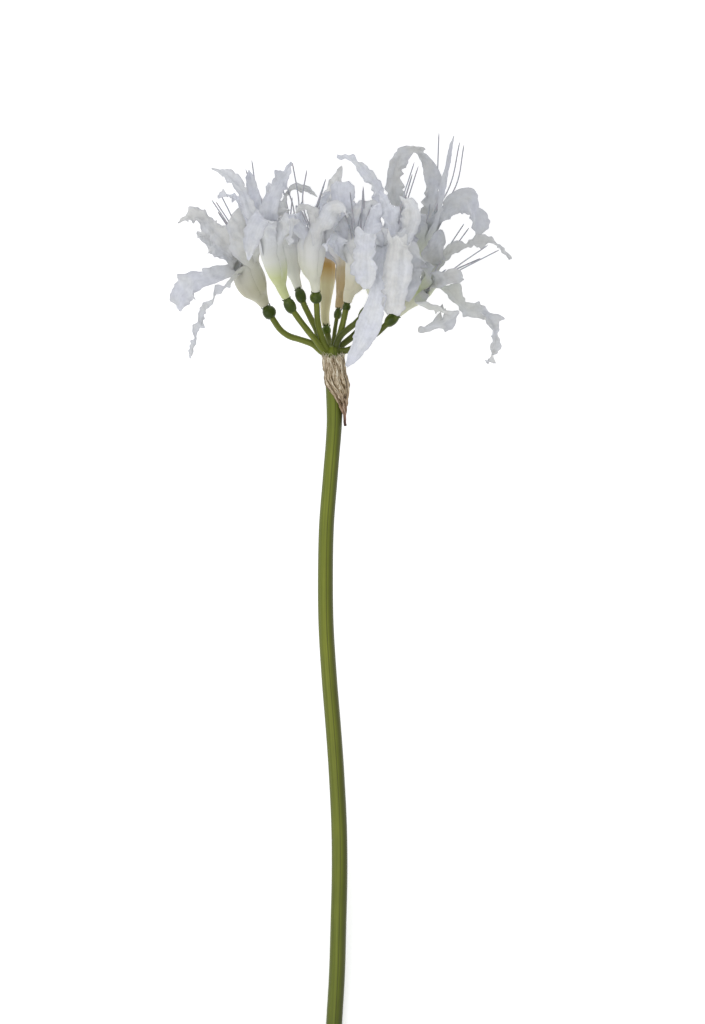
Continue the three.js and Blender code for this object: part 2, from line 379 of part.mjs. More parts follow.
function greenBody() {
  const line = curve(SCAPE_RUN.map(at));
  const stem = bar(line, (s) => lookup(SCAPE_R, s), SCAPE_SIDES, 22);
  const parts = [stem];
  for (const bloom of BLOOMS) {
    const m = mouth(bloom);
    const heart = at([333, 352, 51]), first = at(bloom.stalk[0]);
    const base = heart.clone().addScaledVector(first.clone().sub(heart).normalize(), 1.6).add(new THREE.Vector3(0, -2, 0));
    const stalk = curve([base, first, ...bloom.stalk.slice(1).map(at), m.o]);
    parts.push(bar(stalk, (s) => PEDICEL_R * (1.08 - 0.1 * s), PEDICEL_SIDES, 1 + bloom.stalk.length));
    const [wide, tall] = bloom.size, ends = [m.o.clone().addScaledVector(m.up, -tall), m.o.clone(), m.o.clone().addScaledVector(m.up, tall)];
    const swell = (s) => wide * lookup([[0, 0.45], [0.25, 0.92], [0.5, 1.03], [0.75, 0.9], [1, 0.45]], s);
    parts.push(bar(curve(ends), swell, OVARY_SIDES, 4));
  }
  return union(parts);
}

// ---------------------------------------------------------------- the spathe
// A valve starts at the umbel's foot and hangs along the scape. Angles are from the
// top side (+Z), positive to the right.
function valve(length, left, right, lean, flare, seed) {
  const line = curve(SCAPE_RUN.map(at)), rows = 9, cols = 5, total = line.getLength();
  const grid = [];
  for (let i = 0; i <= rows; i++) {
    const v = i / rows, s = (4.3 + v * length) / total;
    const p = line.getPointAt(s), t = line.getTangentAt(s).normalize();
    const x = new THREE.Vector3(1, 0, 0).addScaledVector(t, -t.x).normalize(), z = new THREE.Vector3().crossVectors(x, t).normalize();
    if (z.z < 0) z.negate();
    const a0 = lookup(left, v) * Math.PI / 180, a1 = lookup(right, v) * Math.PI / 180;
    const row = [];
    for (let j = 0; j <= cols; j++) {
      const a = a0 + (a1 - a0) * j / cols;
      const crease = 0.28 * (1 + Math.sin(seed + 2.1 * j + 1.7 * i)) * smooth(0, 0.25, v);
      const fold = flare * smooth(0.2, 0.45, v) * smooth(0.75, 0.5, v) * smooth(0.5, 1, j / cols);
      const r = lookup(SCAPE_R, s) + GAP + SHEET / 2 + 0.15 + crease + lean * smooth(0.35, 1, v) + fold;
      const n = x.clone().multiplyScalar(Math.sin(a)).addScaledVector(z, Math.cos(a));
      row.push({ p: p.clone().addScaledVector(n, r), n });
    }
    grid.push(row);
  }
  return sheet(grid, SHEET);
}
const frontValve = () => valve(SPATHE_LENGTH,
  [[0, -84], [0.2, -74], [0.35, -62], [0.45, -44], [0.55, -10], [0.7, 22], [0.85, 48], [1, 66]],
  [[0, 84], [0.3, 92], [0.5, 100], [0.7, 90], [0.85, 80], [1, 72]], 0.8, 2.2, 0.4);
const backValve = () => valve(BACK_VALVE_LENGTH,
  [[0, 102], [0.3, 116], [0.6, 146], [0.85, 172], [1, 186]],
  [[0, 258], [0.3, 250], [0.6, 232], [0.85, 208], [1, 192]], 0.6, 0, 2.2);

// ---------------------------------------------------------------- building
// A blade or filament that would cross another node is bent up or down, which grows
// towards its tip, and only then shortened.
const LIFTS = [0, 3, -3, 6, -6, 9, -9, 12, -12, 16, -16, 20, -20];
const CUTS = [1, 0.9, 0.8, 0.7, 0.6, 0.5];

const box = (m) => { const b = m.boundingBox(); return new THREE.Box3(V(b.min), V(b.max)); };
const meets = (a, b) => a.box.intersectsBox(b.box) && a.body.intersect(b.body).volume() > 1e-4;

const green = greenBody(), front = frontValve(), back = backValve();
const kept = [['scape', green], ['spathe_front', front], ['spathe_back', back]]
  .map(([owner, body]) => ({ owner, body, box: box(body) }));
const mouths = BLOOMS.map(mouth), made = BLOOMS.map(() => []), notes = [];
BLOOMS.forEach((bloom, b) => {
  const body = funnel(bloom, mouths[b]);
  made[b].push(body);
  for (const other of kept) {
    if (meets({ body, box: box(body) }, other)) notes.push(`${bloom.name} funnel meets ${other.owner}`);
  }
  kept.push({ owner: bloom.name, body, box: box(body) });
});
function place(bloom, b, what, build) {
  for (const cut of CUTS) for (const lift of LIFTS) {
    const grown = build(lift, cut, GAP), test = { body: grown, box: box(grown) };
    if (kept.some((other) => other.owner !== bloom.name && meets(test, other))) continue;
    const body = build(lift, cut, 0);
    made[b].push(body);
    kept.push({ owner: bloom.name, body, box: box(body) });
    if (lift || cut < 1) notes.push(`${bloom.name} ${what} lift ${lift} cut ${cut}`);
    return;
  }
  notes.push(`${bloom.name} ${what} left out`);
}
for (let k = 0; k < 6; k++) BLOOMS.forEach((bloom, b) => place(bloom, b, `tepal ${k}`,
  (lift, cut, grow) => tepalBlade(bloom, mouths[b], bloom.tepals[k], k, lift, cut, grow)));
for (let k = 0; k < 7; k++) BLOOMS.forEach((bloom, b) => place(bloom, b, `filament ${k}`,
  (lift, cut, grow) => filament(bloom, mouths[b], bloom.stamens[k], k, lift, cut, grow)));

const greenSkin = new THREE.MeshStandardMaterial({ color: 0x6d7a38, roughness: 0.5, metalness: 0 });
const paper = new THREE.MeshStandardMaterial({ color: 0xa08c6e, roughness: 0.9, metalness: 0 });
const petal = new THREE.MeshStandardMaterial({ color: 0xdce0ea, roughness: 0.6, metalness: 0 });

const flower = new THREE.Group();
flower.add(toMesh('scape', green, greenSkin), toMesh('spathe_front', front, paper), toMesh('spathe_back', back, paper));
BLOOMS.forEach((bloom, b) => flower.add(toMesh(bloom.name, union(made[b]), petal)));

// The origin is under the middle of the part's box, on the surface it lies on.
const bounds = new THREE.Box3().setFromObject(flower), centre = bounds.getCenter(new THREE.Vector3());
flower.position.set(-centre.x, -centre.y, -bounds.min.z);
flower.userData.notes = notes;

export default flower;
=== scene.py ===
"""A cut nerine stem with one open umbel, lying on a pale floor.

The plant is drawn on a grid of half millimetres, x to the right and y from the flowers to the cut end, with
z in mm above the floor. Lengths stay in mm until a mesh is made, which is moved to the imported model's place.
"""
import json
import math
import random

import bpy
import numpy as np
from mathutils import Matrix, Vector

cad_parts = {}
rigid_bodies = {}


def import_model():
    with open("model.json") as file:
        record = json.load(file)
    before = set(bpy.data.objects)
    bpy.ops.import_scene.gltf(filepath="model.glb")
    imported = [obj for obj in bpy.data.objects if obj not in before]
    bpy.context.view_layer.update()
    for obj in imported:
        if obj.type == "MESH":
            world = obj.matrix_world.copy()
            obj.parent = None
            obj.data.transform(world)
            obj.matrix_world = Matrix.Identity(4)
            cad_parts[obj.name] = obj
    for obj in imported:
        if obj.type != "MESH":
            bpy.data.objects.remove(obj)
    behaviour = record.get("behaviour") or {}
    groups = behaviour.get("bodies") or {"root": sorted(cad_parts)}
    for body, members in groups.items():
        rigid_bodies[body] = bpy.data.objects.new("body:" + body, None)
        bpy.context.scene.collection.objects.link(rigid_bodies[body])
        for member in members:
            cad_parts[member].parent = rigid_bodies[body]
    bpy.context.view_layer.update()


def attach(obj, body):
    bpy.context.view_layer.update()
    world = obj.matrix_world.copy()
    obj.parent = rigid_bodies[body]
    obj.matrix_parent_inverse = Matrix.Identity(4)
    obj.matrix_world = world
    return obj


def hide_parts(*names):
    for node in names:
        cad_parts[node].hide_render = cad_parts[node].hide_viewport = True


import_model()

# -------- the drawing grid
GRID = 0.5  # mm per step
VIEW = (705, 1024)  # steps that the camera sees
UMBEL = (333, 355)  # grid point of the top of the scape
STEM_END = (-1.0, -365.0)  # mm from there to the middle of the cut end
FINE = 20  # points of a curve between two drawn ones
TURN = 2 * math.pi
UV = "OFBake"

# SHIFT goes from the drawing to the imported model, in mm, by the middle of the scape's cut end.
scape = np.array([v.co for v in bpy.data.objects["scape"].data.vertices]) * 1000
cut_end = scape[scape[:, 1] < scape[:, 1].min() + 1.0]
cut_end = np.unique(np.round(cut_end, 3), axis=0).mean(axis=0)
SHIFT = np.array([cut_end[0] - STEM_END[0], cut_end[1] - STEM_END[1], 0.0])


def at(p):
    """A grid point in mm."""
    return np.array([(p[0] - UMBEL[0]) * GRID, (UMBEL[1] - p[1]) * GRID, p[2]], float)


def unit(v):
    return v / np.linalg.norm(v)


def units(rows):
    return rows / np.linalg.norm(rows, axis=1)[:, None]


def smooth(a, b, x):
    """Eases from 0 at a to 1 at b."""
    t = np.clip((np.asarray(x, float) - a) / (b - a), 0, 1)
    return t * t * (3 - 2 * t)


def lookup(table, x):
    return np.interp(x, [p[0] for p in table], [p[1] for p in table])


def mix(a, b, t):
    return a + (b - a) * t


def marked(across, along, number):
    """The marks of a grid of points. See Shape."""
    return np.stack(np.broadcast_arrays(across, along, number), axis=-1).astype(float)


def spline(points):
    """Points on a centripetal Catmull-Rom curve through these."""
    p = [np.asarray(q, float) for q in points]
    p = [2 * p[0] - p[1]] + p + [2 * p[-1] - p[-2]]
    out = []
    for i in range(1, len(p) - 2):
        x0, x1, x2, x3 = p[i - 1:i + 3]
        d0, d1, d2 = (max(np.dot(b - a, b - a), 1e-9) ** 0.25 for a, b in ((x0, x1), (x1, x2), (x2, x3)))
        t1 = ((x1 - x0) / d0 - (x2 - x0) / (d0 + d1) + (x2 - x1) / d1) * d1
        t2 = ((x2 - x1) / d1 - (x3 - x1) / (d1 + d2) + (x3 - x2) / d2) * d1
        second, third = -3 * x1 + 3 * x2 - 2 * t1 - t2, 2 * x1 - 2 * x2 + t1 + t2
        for t in np.arange(FINE) / FINE:
            out.append(x1 + t1 * t + second * t * t + third * t ** 3)
    out.append(p[-2])
    return np.array(out)


class Path:
    """A curve with even arc length, and frames carried along it without twist."""

    def __init__(self, points):
        self.dense = spline(points)
        steps = np.linalg.norm(np.diff(self.dense, axis=0), axis=1)
        self.sum = np.concatenate([[0], np.cumsum(steps)])
        self.length = self.sum[-1]

    def point(self, s):
        """The point at a share of the length."""
        d = np.clip(s, 0, 1) * self.length
        return np.stack([np.interp(d, self.sum, self.dense[:, k]) for k in range(3)], axis=-1)

    def nearest(self, p):
        """The share of the length at the point nearest to p."""
        return self.sum[np.argmin(np.linalg.norm(self.dense - p, axis=1))] / self.length

    def frames(self, s, side):
        """Points, directions and two normals, the first one turned towards side at the start."""
        near = 0.004  # share of the length to each side that gives the direction
        t = units(self.point(s + near) - self.point(s - near))
        w, all_w = np.asarray(side, float), []
        for one in t:
            w = unit(w - np.dot(w, one) * one)
            all_w.append(w)
        w = np.array(all_w)
        return self.point(s), t, w, np.cross(t, w)


# -------- the blooms, drawn
# r and swell give the tube's width, size an ovary's half width and half height in mm. ovary and throat are grid
# points, and axis is the way the mouth faces. tube holds the tube's two colours, low and high, linear, and shade
# how light the tepals are, where it isn't 1: painted light and shade, over 1 for the blooms in the shaded middle
# of the head and under 1 for those at its sides. A tepal is its angle round the mouth, width in mm, turn from
# broadside, run of grid points and options. A filament is two grid points, one on its way and its tip.
BLOOMS = {}
BLOOMS["bloom_01"] = dict(
    r=7.2, swell=0.72, ovary=(269, 312.5, 50), size=(3.3, 3.4), throat=(246, 268, 57), axis=(-0.36, 0.91, 0.14),
    tube=((0.52, 0.50, 0.36), (0.60, 0.59, 0.51)), shade=0.95,
    stalk=[(321.4, 351.6, 51), (313, 344.5, 52), (301, 340, 52), (288.8, 336, 51), (280.6, 330, 50),
        (273.5, 320, 50)],
    tepals=[
        (205, 14, 15, [(234, 270.5, 63), (220, 275, 66), (206, 279, 66), (194, 284, 62), (184, 293, 56),
            (177, 306, 50)], dict(form="round", frill=0.6)),
        (265, 5.2, 50, [(238, 275, 66), (230, 284, 70), (217, 295, 68), (206, 309, 63), (199, 326, 57), (194, 343, 52),
            (191, 359, 47)], dict(waves=5)),
        (165, 10, 20, [(234, 263.5, 62), (223, 253, 59), (211, 242, 54), (197, 233, 46)]),
        (125, 9.6, 15, [(237, 254, 62), (226, 242, 63), (213, 229, 61), (200, 218, 58), (188, 217, 54),
            (179, 224, 50)]),
        (300, 11, 12, [(243, 254, 69), (240, 240, 73), (239, 226, 76), (241, 214, 77), (246, 206, 76)],
            dict(frill=0.6)),
        (345, 9, 15, [(260, 252, 66), (265, 238, 71), (269, 225, 74), (278, 215, 74), (291, 211, 70)])],
    stamens=[(232, 231, 56), (212, 200.5, 56), (234, 231, 58), (216, 202, 58), (236, 228, 54), (220, 193, 54),
        (238, 240, 62), (239, 226, 62), (242, 236, 60), (243, 222, 58), (236, 240, 60), (232, 230, 58), (232, 234, 54),
        (218, 212, 54)])
BLOOMS["bloom_02"] = dict(
    r=6.0, ovary=(290, 306, 64), size=(2.8, 4.4), throat=(272, 252, 82), axis=(-0.25, 0.88, 0.28),
    tube=((0.54, 0.59, 0.24), (0.74, 0.75, 0.68)),
    stalk=[(323.5, 350.6, 53), (316, 341, 56), (307, 330, 60), (295, 314, 63)],
    tepals=[
        (120, 6.5, 20, [(262, 238, 86), (252, 216, 90), (243, 194, 90), (233, 181, 86), (223, 174, 80),
            (212, 170, 74)]),
        (175, 6.5, 45, [(260, 244, 86), (250, 222, 84), (241, 204, 78), (231, 196, 72), (218, 199, 66)]),
        (85, 7.5, 10, [(266, 236, 80), (259, 214, 78), (254, 194, 74), (249, 171, 70)], dict(frill=0.6)),
        (40, 8.8, 15, [(274, 232, 88), (270, 213, 92), (275, 197, 92), (282, 183, 88), (292, 164, 82)]),
        (250, 10.5, 10, [(268, 238, 93), (267, 226, 98), (263, 220, 105), (257, 229, 110), (252, 245, 110),
            (249, 262, 106)], dict(frill=0.6)),
        (325, 7.5, 10, [(281, 240, 91), (285, 228, 96), (290, 221, 101), (292, 230, 104), (289, 247, 102)])],
    stamens=[(257, 206, 72), (246, 170, 62), (259, 206, 70), (252, 161, 62), (263, 216, 84), (262, 200, 80),
        (257, 220, 84), (249, 206, 80), (268, 216, 82), (269, 200, 80), (261, 222, 86), (256, 210, 84), (260, 212, 72),
        (252, 184, 64)])
BLOOMS["bloom_03"] = dict(
    r=5.5, ovary=(300.7, 295.6, 40), size=(2.6, 4.0), throat=(288, 250, 26), axis=(-0.2, 0.85, -0.5),
    tube=((0.76, 0.77, 0.66), (0.80, 0.81, 0.77)),
    stalk=[(324, 350, 48), (316, 329, 45), (311, 319, 43), (304, 304.7, 41)],
    tepals=[
        (280, 5.2, 65, [(287, 225, 34), (284, 203, 36), (290, 190, 34), (305, 187.6, 30), (317, 196, 26)]),
        (210, 6, 20, [(278, 230, 28), (271, 205, 26), (268, 181, 22)]),
        (150, 8, 15, [(274, 240, 16), (262, 226, 8), (248, 222, 2), (234, 228, 0)]),
        (90, 7, 15, [(286, 234, 10), (282, 218, 4), (278, 205, 2), (276, 196, 4)]),
        (30, 7, 20, [(298, 236, 17), (300, 222, 13), (298, 210, 11), (296, 204, 11)], dict(lift=3)),
        (335, 6.5, 20, [(297, 236, 30), (300, 226, 34), (299, 217, 37), (293, 221, 40)])],
    stamens=[(299, 207, 40), (292.5, 163, 44), (294, 212, 34), (286, 184, 36), (284, 214, 22), (276, 190, 20),
        (290, 216, 18), (292, 196, 14), (280, 220, 22), (264, 200, 20), (296, 216, 24), (302, 200, 22), (288, 212, 28),
        (282, 186, 28)])
BLOOMS["bloom_04"] = dict(
    r=6.6, ovary=(316.2, 298, 62), size=(3.0, 3.0), throat=(312, 248, 76), axis=(0.03, 0.92, 0.25),
    tube=((0.76, 0.76, 0.62), (0.80, 0.80, 0.76)), shade=1.04,
    stalk=[(325.5, 346.5, 53), (318.4, 326, 58), (316.8, 305.7, 61)],
    tepals=[
        (200, 7.5, 10, [(303, 240, 80), (296, 228, 80), (287, 224, 76), (279, 231, 70)]),
        (145, 6, 25, [(301, 234, 72), (297, 223, 70), (292, 216, 66), (286, 220, 60)]),
        (90, 6.5, 35, [(317, 228, 70), (321, 212, 64), (322, 201, 60), (330, 192, 56)]),
        (30, 8, 15, [(324, 236, 79), (332, 222, 81), (341, 214, 79), (350, 217, 74)]),
        (330, 10, 10, [(320, 236, 85), (326, 223, 90), (333, 213, 94), (342, 211, 97), (348, 220, 97)]),
        (265, 5.8, 15, [(316, 234, 85), (315, 220, 87), (309, 210, 88), (301, 209, 88), (296, 215, 86)])],
    stamens=[(303, 205, 80), (307, 172, 84), (315.5, 213, 84), (326, 181, 90), (314, 226, 84), (320, 208, 86),
        (308, 228, 84), (302, 214, 84), (319, 228, 80), (330, 208, 80), (311, 230, 84), (309, 218, 84), (316, 216, 82),
        (325, 184, 88)])
BLOOMS["bloom_05"] = dict(
    r=4.5, ovary=(326.5, 330, 38), size=(2.3, 2.4), throat=(327, 262, 24), axis=(0.0, 0.9, -0.4),
    tube=((0.73, 0.70, 0.44), (0.52, 0.32, 0.09)), shade=1.08,
    stalk=[(330.6, 350.6, 46), (328.6, 339, 40)],
    tepals=[
        (275, 7, 25, [(330, 240, 30), (332, 222, 30), (330, 205, 28), (322, 193, 24)]),
        (330, 7, 20, [(338, 246, 26), (346, 230, 24), (350, 214, 20), (346, 202, 16)]),
        (215, 7, 20, [(316, 248, 24), (310, 238, 20), (302, 234, 14), (294, 238, 8)]),
        (150, 8, 15, [(318, 250, 14), (310, 240, 5), (302, 240, 0), (292, 248, 0)]),
        (90, 7, 15, [(328, 248, 9), (330, 234, 2), (331, 220, 0), (333, 210, 2)]),
        (30, 8, 15, [(340, 250, 13), (350, 240, 5), (361, 238, 0), (372, 244, 0)])],
    stamens=[(329, 226, 26), (330, 198, 26), (334, 228, 22), (340, 206, 20), (322, 232, 20), (316, 218, 16),
        (328, 230, 16), (328, 206, 10), (336, 236, 16), (344, 220, 10), (320, 238, 16), (308, 228, 10), (332, 224, 20),
        (336, 200, 16)])
BLOOMS["bloom_06"] = dict(
    r=5.2, ovary=(337.7, 314, 44), size=(1.9, 2.8), throat=(347, 266, 44), axis=(0.12, 0.9, -0.15),
    stalk_r=1.0, tube=((0.50, 0.37, 0.19), (0.54, 0.44, 0.27)), shade=1.10,
    stalk=[(333.7, 341, 49), (336, 323, 46)],
    tepals=[
        (270, 9.5, 15, [(344, 246, 50), (343, 222, 52), (337, 203, 50), (334, 188, 46), (342, 166, 42)]),
        (330, 6.4, 20, [(352, 250, 44), (358, 232, 42), (360, 214, 38), (354, 200, 34)]),
        (30, 6.4, 15, [(354, 254, 38), (364, 244, 34), (374, 242, 28), (384, 248, 22)]),
        (90, 6.4, 15, [(342, 250, 35), (345, 234, 31), (348, 218, 30), (350, 204, 30)]),
        (150, 6.2, 15, [(328, 254, 38), (319, 244, 36), (310, 242, 32), (301, 248, 28)]),
        (210, 6, 20, [(332, 246, 46), (328, 232, 46), (323, 218, 44), (320, 208, 40)])],
    stamens=[(341, 230, 46), (338, 200, 46), (348, 232, 44), (354, 206, 44), (336, 234, 42), (330, 212, 40),
        (350, 236, 38), (360, 216, 34), (342, 236, 38), (342, 212, 34), (334, 240, 38), (324, 226, 34), (344, 228, 42),
        (346, 200, 40)])
BLOOMS["bloom_07"] = dict(
    r=6.2, swell=0.85, ovary=(346.3, 307.3, 56), size=(2.0, 2.2), throat=(358, 261, 66), axis=(0.03, 0.94, 0.25),
    tube=((0.66, 0.62, 0.45), (0.76, 0.75, 0.68)), shade=1.16,
    stalk=[(335.7, 347.6, 52), (341, 331, 54), (345, 314, 56)],
    tepals=[
        (60, 7, 20, [(364, 240, 62), (374, 221, 58), (380, 203, 56), (377, 187, 56), (367, 174, 58), (355, 161, 60),
            (337, 156, 62)], dict(waves=4)),
        (115, 13, 10, [(347, 240, 66), (345, 220, 69), (343, 202, 70), (342, 183, 67)],
            dict(form="round", frill=0.6)),
        (0, 7.5, 15, [(366, 250, 70), (376, 238, 74), (384, 240, 76), (388, 252, 74)]),
        (180, 7.5, 15, [(340, 250, 75), (334, 240, 83), (328, 242, 88), (325, 253, 89)]),
        (240, 10, 12, [(347, 246, 73), (342, 231, 76), (335, 217, 77), (328, 211, 76), (322, 217, 73)],
            dict(lift=-3)),
        (300, 10, 12, [(356, 246, 73), (359, 228, 76), (364, 213, 78), (372, 206, 78), (379, 213, 75)])],
    stamens=[(364, 208, 78), (363, 188, 80), (354, 224, 80), (350, 194, 88), (350, 232, 78), (344, 214, 80),
        (357, 232, 78), (361, 214, 80), (364, 228, 76), (372, 206, 78), (353, 234, 78), (351, 220, 80), (362, 212, 80),
        (363, 190, 82)])
BLOOMS["bloom_08"] = dict(
    r=6.5, ovary=(365, 314, 62), size=(3.0, 4.0), throat=(383, 268, 90), axis=(0.20, 0.93, 0.22),
    tube=((0.60, 0.62, 0.43), (0.72, 0.73, 0.68)), shade=1.12,
    stalk=[(337.8, 341, 53), (341.8, 335, 55), (356, 323, 60)],
    tepals=[
        (265, 11.6, 12, [(383, 255, 98), (382, 249, 103), (381, 256, 108), (380, 270, 110), (379, 288, 109),
            (376, 306, 106), (370, 325, 101), (361.5, 344, 95), (347, 367, 87)],
            dict(form="late", frill=0.35, folds=3.5)),
        (90, 8.5, 15, [(388, 246, 90), (390, 226, 88), (386, 206, 82), (379, 193, 74)]),
        (145, 9.5, 15, [(375, 252, 94), (373, 236, 94), (374, 220, 90), (378, 204, 84)]),
        (222, 12, 12, [(378, 252, 100), (373, 241, 107), (367, 237, 113), (365, 248, 117), (365, 268, 116),
            (367, 291, 112)], dict(form="blunt", frill=0.8, folds=4.5)),
        (35, 10, 15, [(396, 252, 92), (405, 238, 93), (411, 222, 91), (409, 206, 88), (400, 198, 84)]),
        (315, 14, 10, [(390, 252, 99), (395, 241, 106), (398, 246, 113), (397, 266, 115), (395, 290, 112),
            (391, 315, 105)], dict(form="blunt", frill=0.8, folds=4.5))],
    stamens=[(399, 212, 82), (414, 164, 84), (403, 214, 80), (418, 168, 80), (391, 240, 88), (393, 224, 86),
        (385, 242, 88), (381, 228, 86), (397, 240, 86), (402, 228, 84), (389, 246, 88), (390, 234, 88), (400, 216, 80),
        (412, 176, 80)])
BLOOMS["bloom_09"] = dict(
    r=5.4, ovary=(384, 290, 40), size=(3.0, 4.0), throat=(421, 240, 50), axis=(0.45, 0.8, 0.15),
    tube=((0.56, 0.63, 0.30), (0.70, 0.73, 0.62)), shade=0.87,
    stalk=[(341.8, 345.5, 48), (353, 336, 45), (368, 318, 42), (378, 302, 41)],
    tepals=[
        (165, 9, 12, [(409, 224, 52), (397, 203, 54), (394, 180, 56), (399, 161, 56), (410, 150, 54),
            (424, 151, 50)]),
        (100, 8.6, 15, [(425, 218, 44), (432, 197, 42), (432, 178, 42), (426, 161, 43), (413, 148, 45)]),
        (30, 12.5, 10, [(435, 228, 52), (445, 214, 56), (456, 204, 58), (467, 202, 58), (474, 210, 54), (477, 222, 50),
            (478, 239, 46)], dict(form="late", frill=0.7)),
        (330, 4.2, 40, [(438, 220, 60), (442, 195, 66), (447, 168, 70), (454, 137, 72)], dict(frill=0.25)),
        (265, 13, 12, [(418, 228, 60), (415, 217, 65), (409, 219, 69), (405, 236, 69), (404, 258, 66),
            (407, 280, 62)]),
        (140, 8.5, 15, [(411, 230, 38), (403, 224, 20), (396, 223, 6), (388, 227, 0)])],
    stamens=[(436, 190, 36), (439, 133, 44), (444, 180, 54), (451, 146, 62), (449, 188, 50), (459.5, 143, 58),
        (455, 188, 46), (464, 145, 48), (428, 216, 48), (430, 204, 46), (436, 214, 50), (441, 202, 50), (441, 196, 50),
        (450, 158, 56)])
BLOOMS["bloom_10"] = dict(
    r=4.2, ovary=(391.8, 320, 58), size=(2.8, 4.2), throat=(424, 290, 62), axis=(0.65, 0.62, 0.15),
    tube=((0.68, 0.68, 0.54), (0.60, 0.66, 0.36)), shade=0.88,
    stalk=[(334.7, 351.6, 51), (347, 350.6, 53), (362, 343, 56), (377.6, 333, 58), (385, 326, 58)],
    tepals=[
        (345, 8.4, 20, [(437, 288, 66), (449, 290, 70), (457, 300, 70), (466, 310, 68), (479, 311, 64), (489, 317, 60),
            (495, 332, 56), (494, 349, 52), (488, 364, 46)], dict(waves=5, form="early", frill=1.5)),
        (280, 10, 8, [(418, 303, 70), (427, 309, 75), (439, 311, 76), (450, 315, 72), (447, 322, 66), (436, 327, 62),
            (418, 332, 58)], dict(waves=4, form="early", frill=1.2)),
        (75, 6, 35, [(432, 272, 58), (441, 262, 56), (451, 251, 54), (464, 246, 53), (479, 241.5, 52),
            (493, 243.5, 50), (503, 250, 48), (508, 260, 44)], dict(waves=4)),
        (10, 8, 10, [(434, 283, 72), (444, 280, 79), (453, 277.5, 80), (462, 279, 77)],
            dict(form="blunt", frill=0.7)),
        (130, 11, 10, [(425, 274, 58), (431, 259, 58), (436, 245, 60), (441, 230, 60)]),
        (235, 13, 12, [(427, 280, 71), (423, 266, 76), (417, 258, 80), (412, 267, 82), (410, 284, 82),
            (408, 302, 78)])],
    stamens=[(453, 270, 64), (487.5, 246, 68), (457, 272, 62), (499, 250.5, 64), (444, 254, 52), (464, 224, 54),
        (448, 256, 50), (469, 228, 50), (438, 276, 64), (446, 270, 64), (436, 270, 62), (441, 262, 62), (452, 272, 62),
        (480, 259, 62)])
# How wide a tepal is along its run, as shares of its width.
FORMS = {
    "round": [[0, 0.3], [0.2, 0.46], [0.4, 0.6], [0.58, 0.78], [0.74, 0.98], [0.86, 1], [0.94, 0.86], [1, 0.45]],
    "late": [[0, 0.36], [0.15, 0.44], [0.35, 0.66], [0.55, 0.92], [0.7, 1], [0.82, 0.86], [0.92, 0.56], [1, 0.08]],
    "pointed": [[0, 0.36], [0.1, 0.46], [0.3, 0.84], [0.5, 1], [0.68, 0.95], [0.84, 0.68], [0.95, 0.36], [1, 0.10]],
    "early": [[0, 0.36], [0.1, 0.6], [0.25, 1], [0.45, 0.86], [0.7, 0.72], [0.9, 0.55], [0.97, 0.36], [1, 0.12]],
    "blunt": [[0, 0.26], [0.1, 0.34], [0.3, 0.7], [0.5, 0.88], [0.7, 1], [0.85, 0.98], [0.95, 0.72], [1, 0.3]],
}


# -------- meshes
def put(name, data):
    """A new object in the scene."""
    made = bpy.data.objects.new(name, data)
    bpy.context.scene.collection.objects.link(made)
    return made


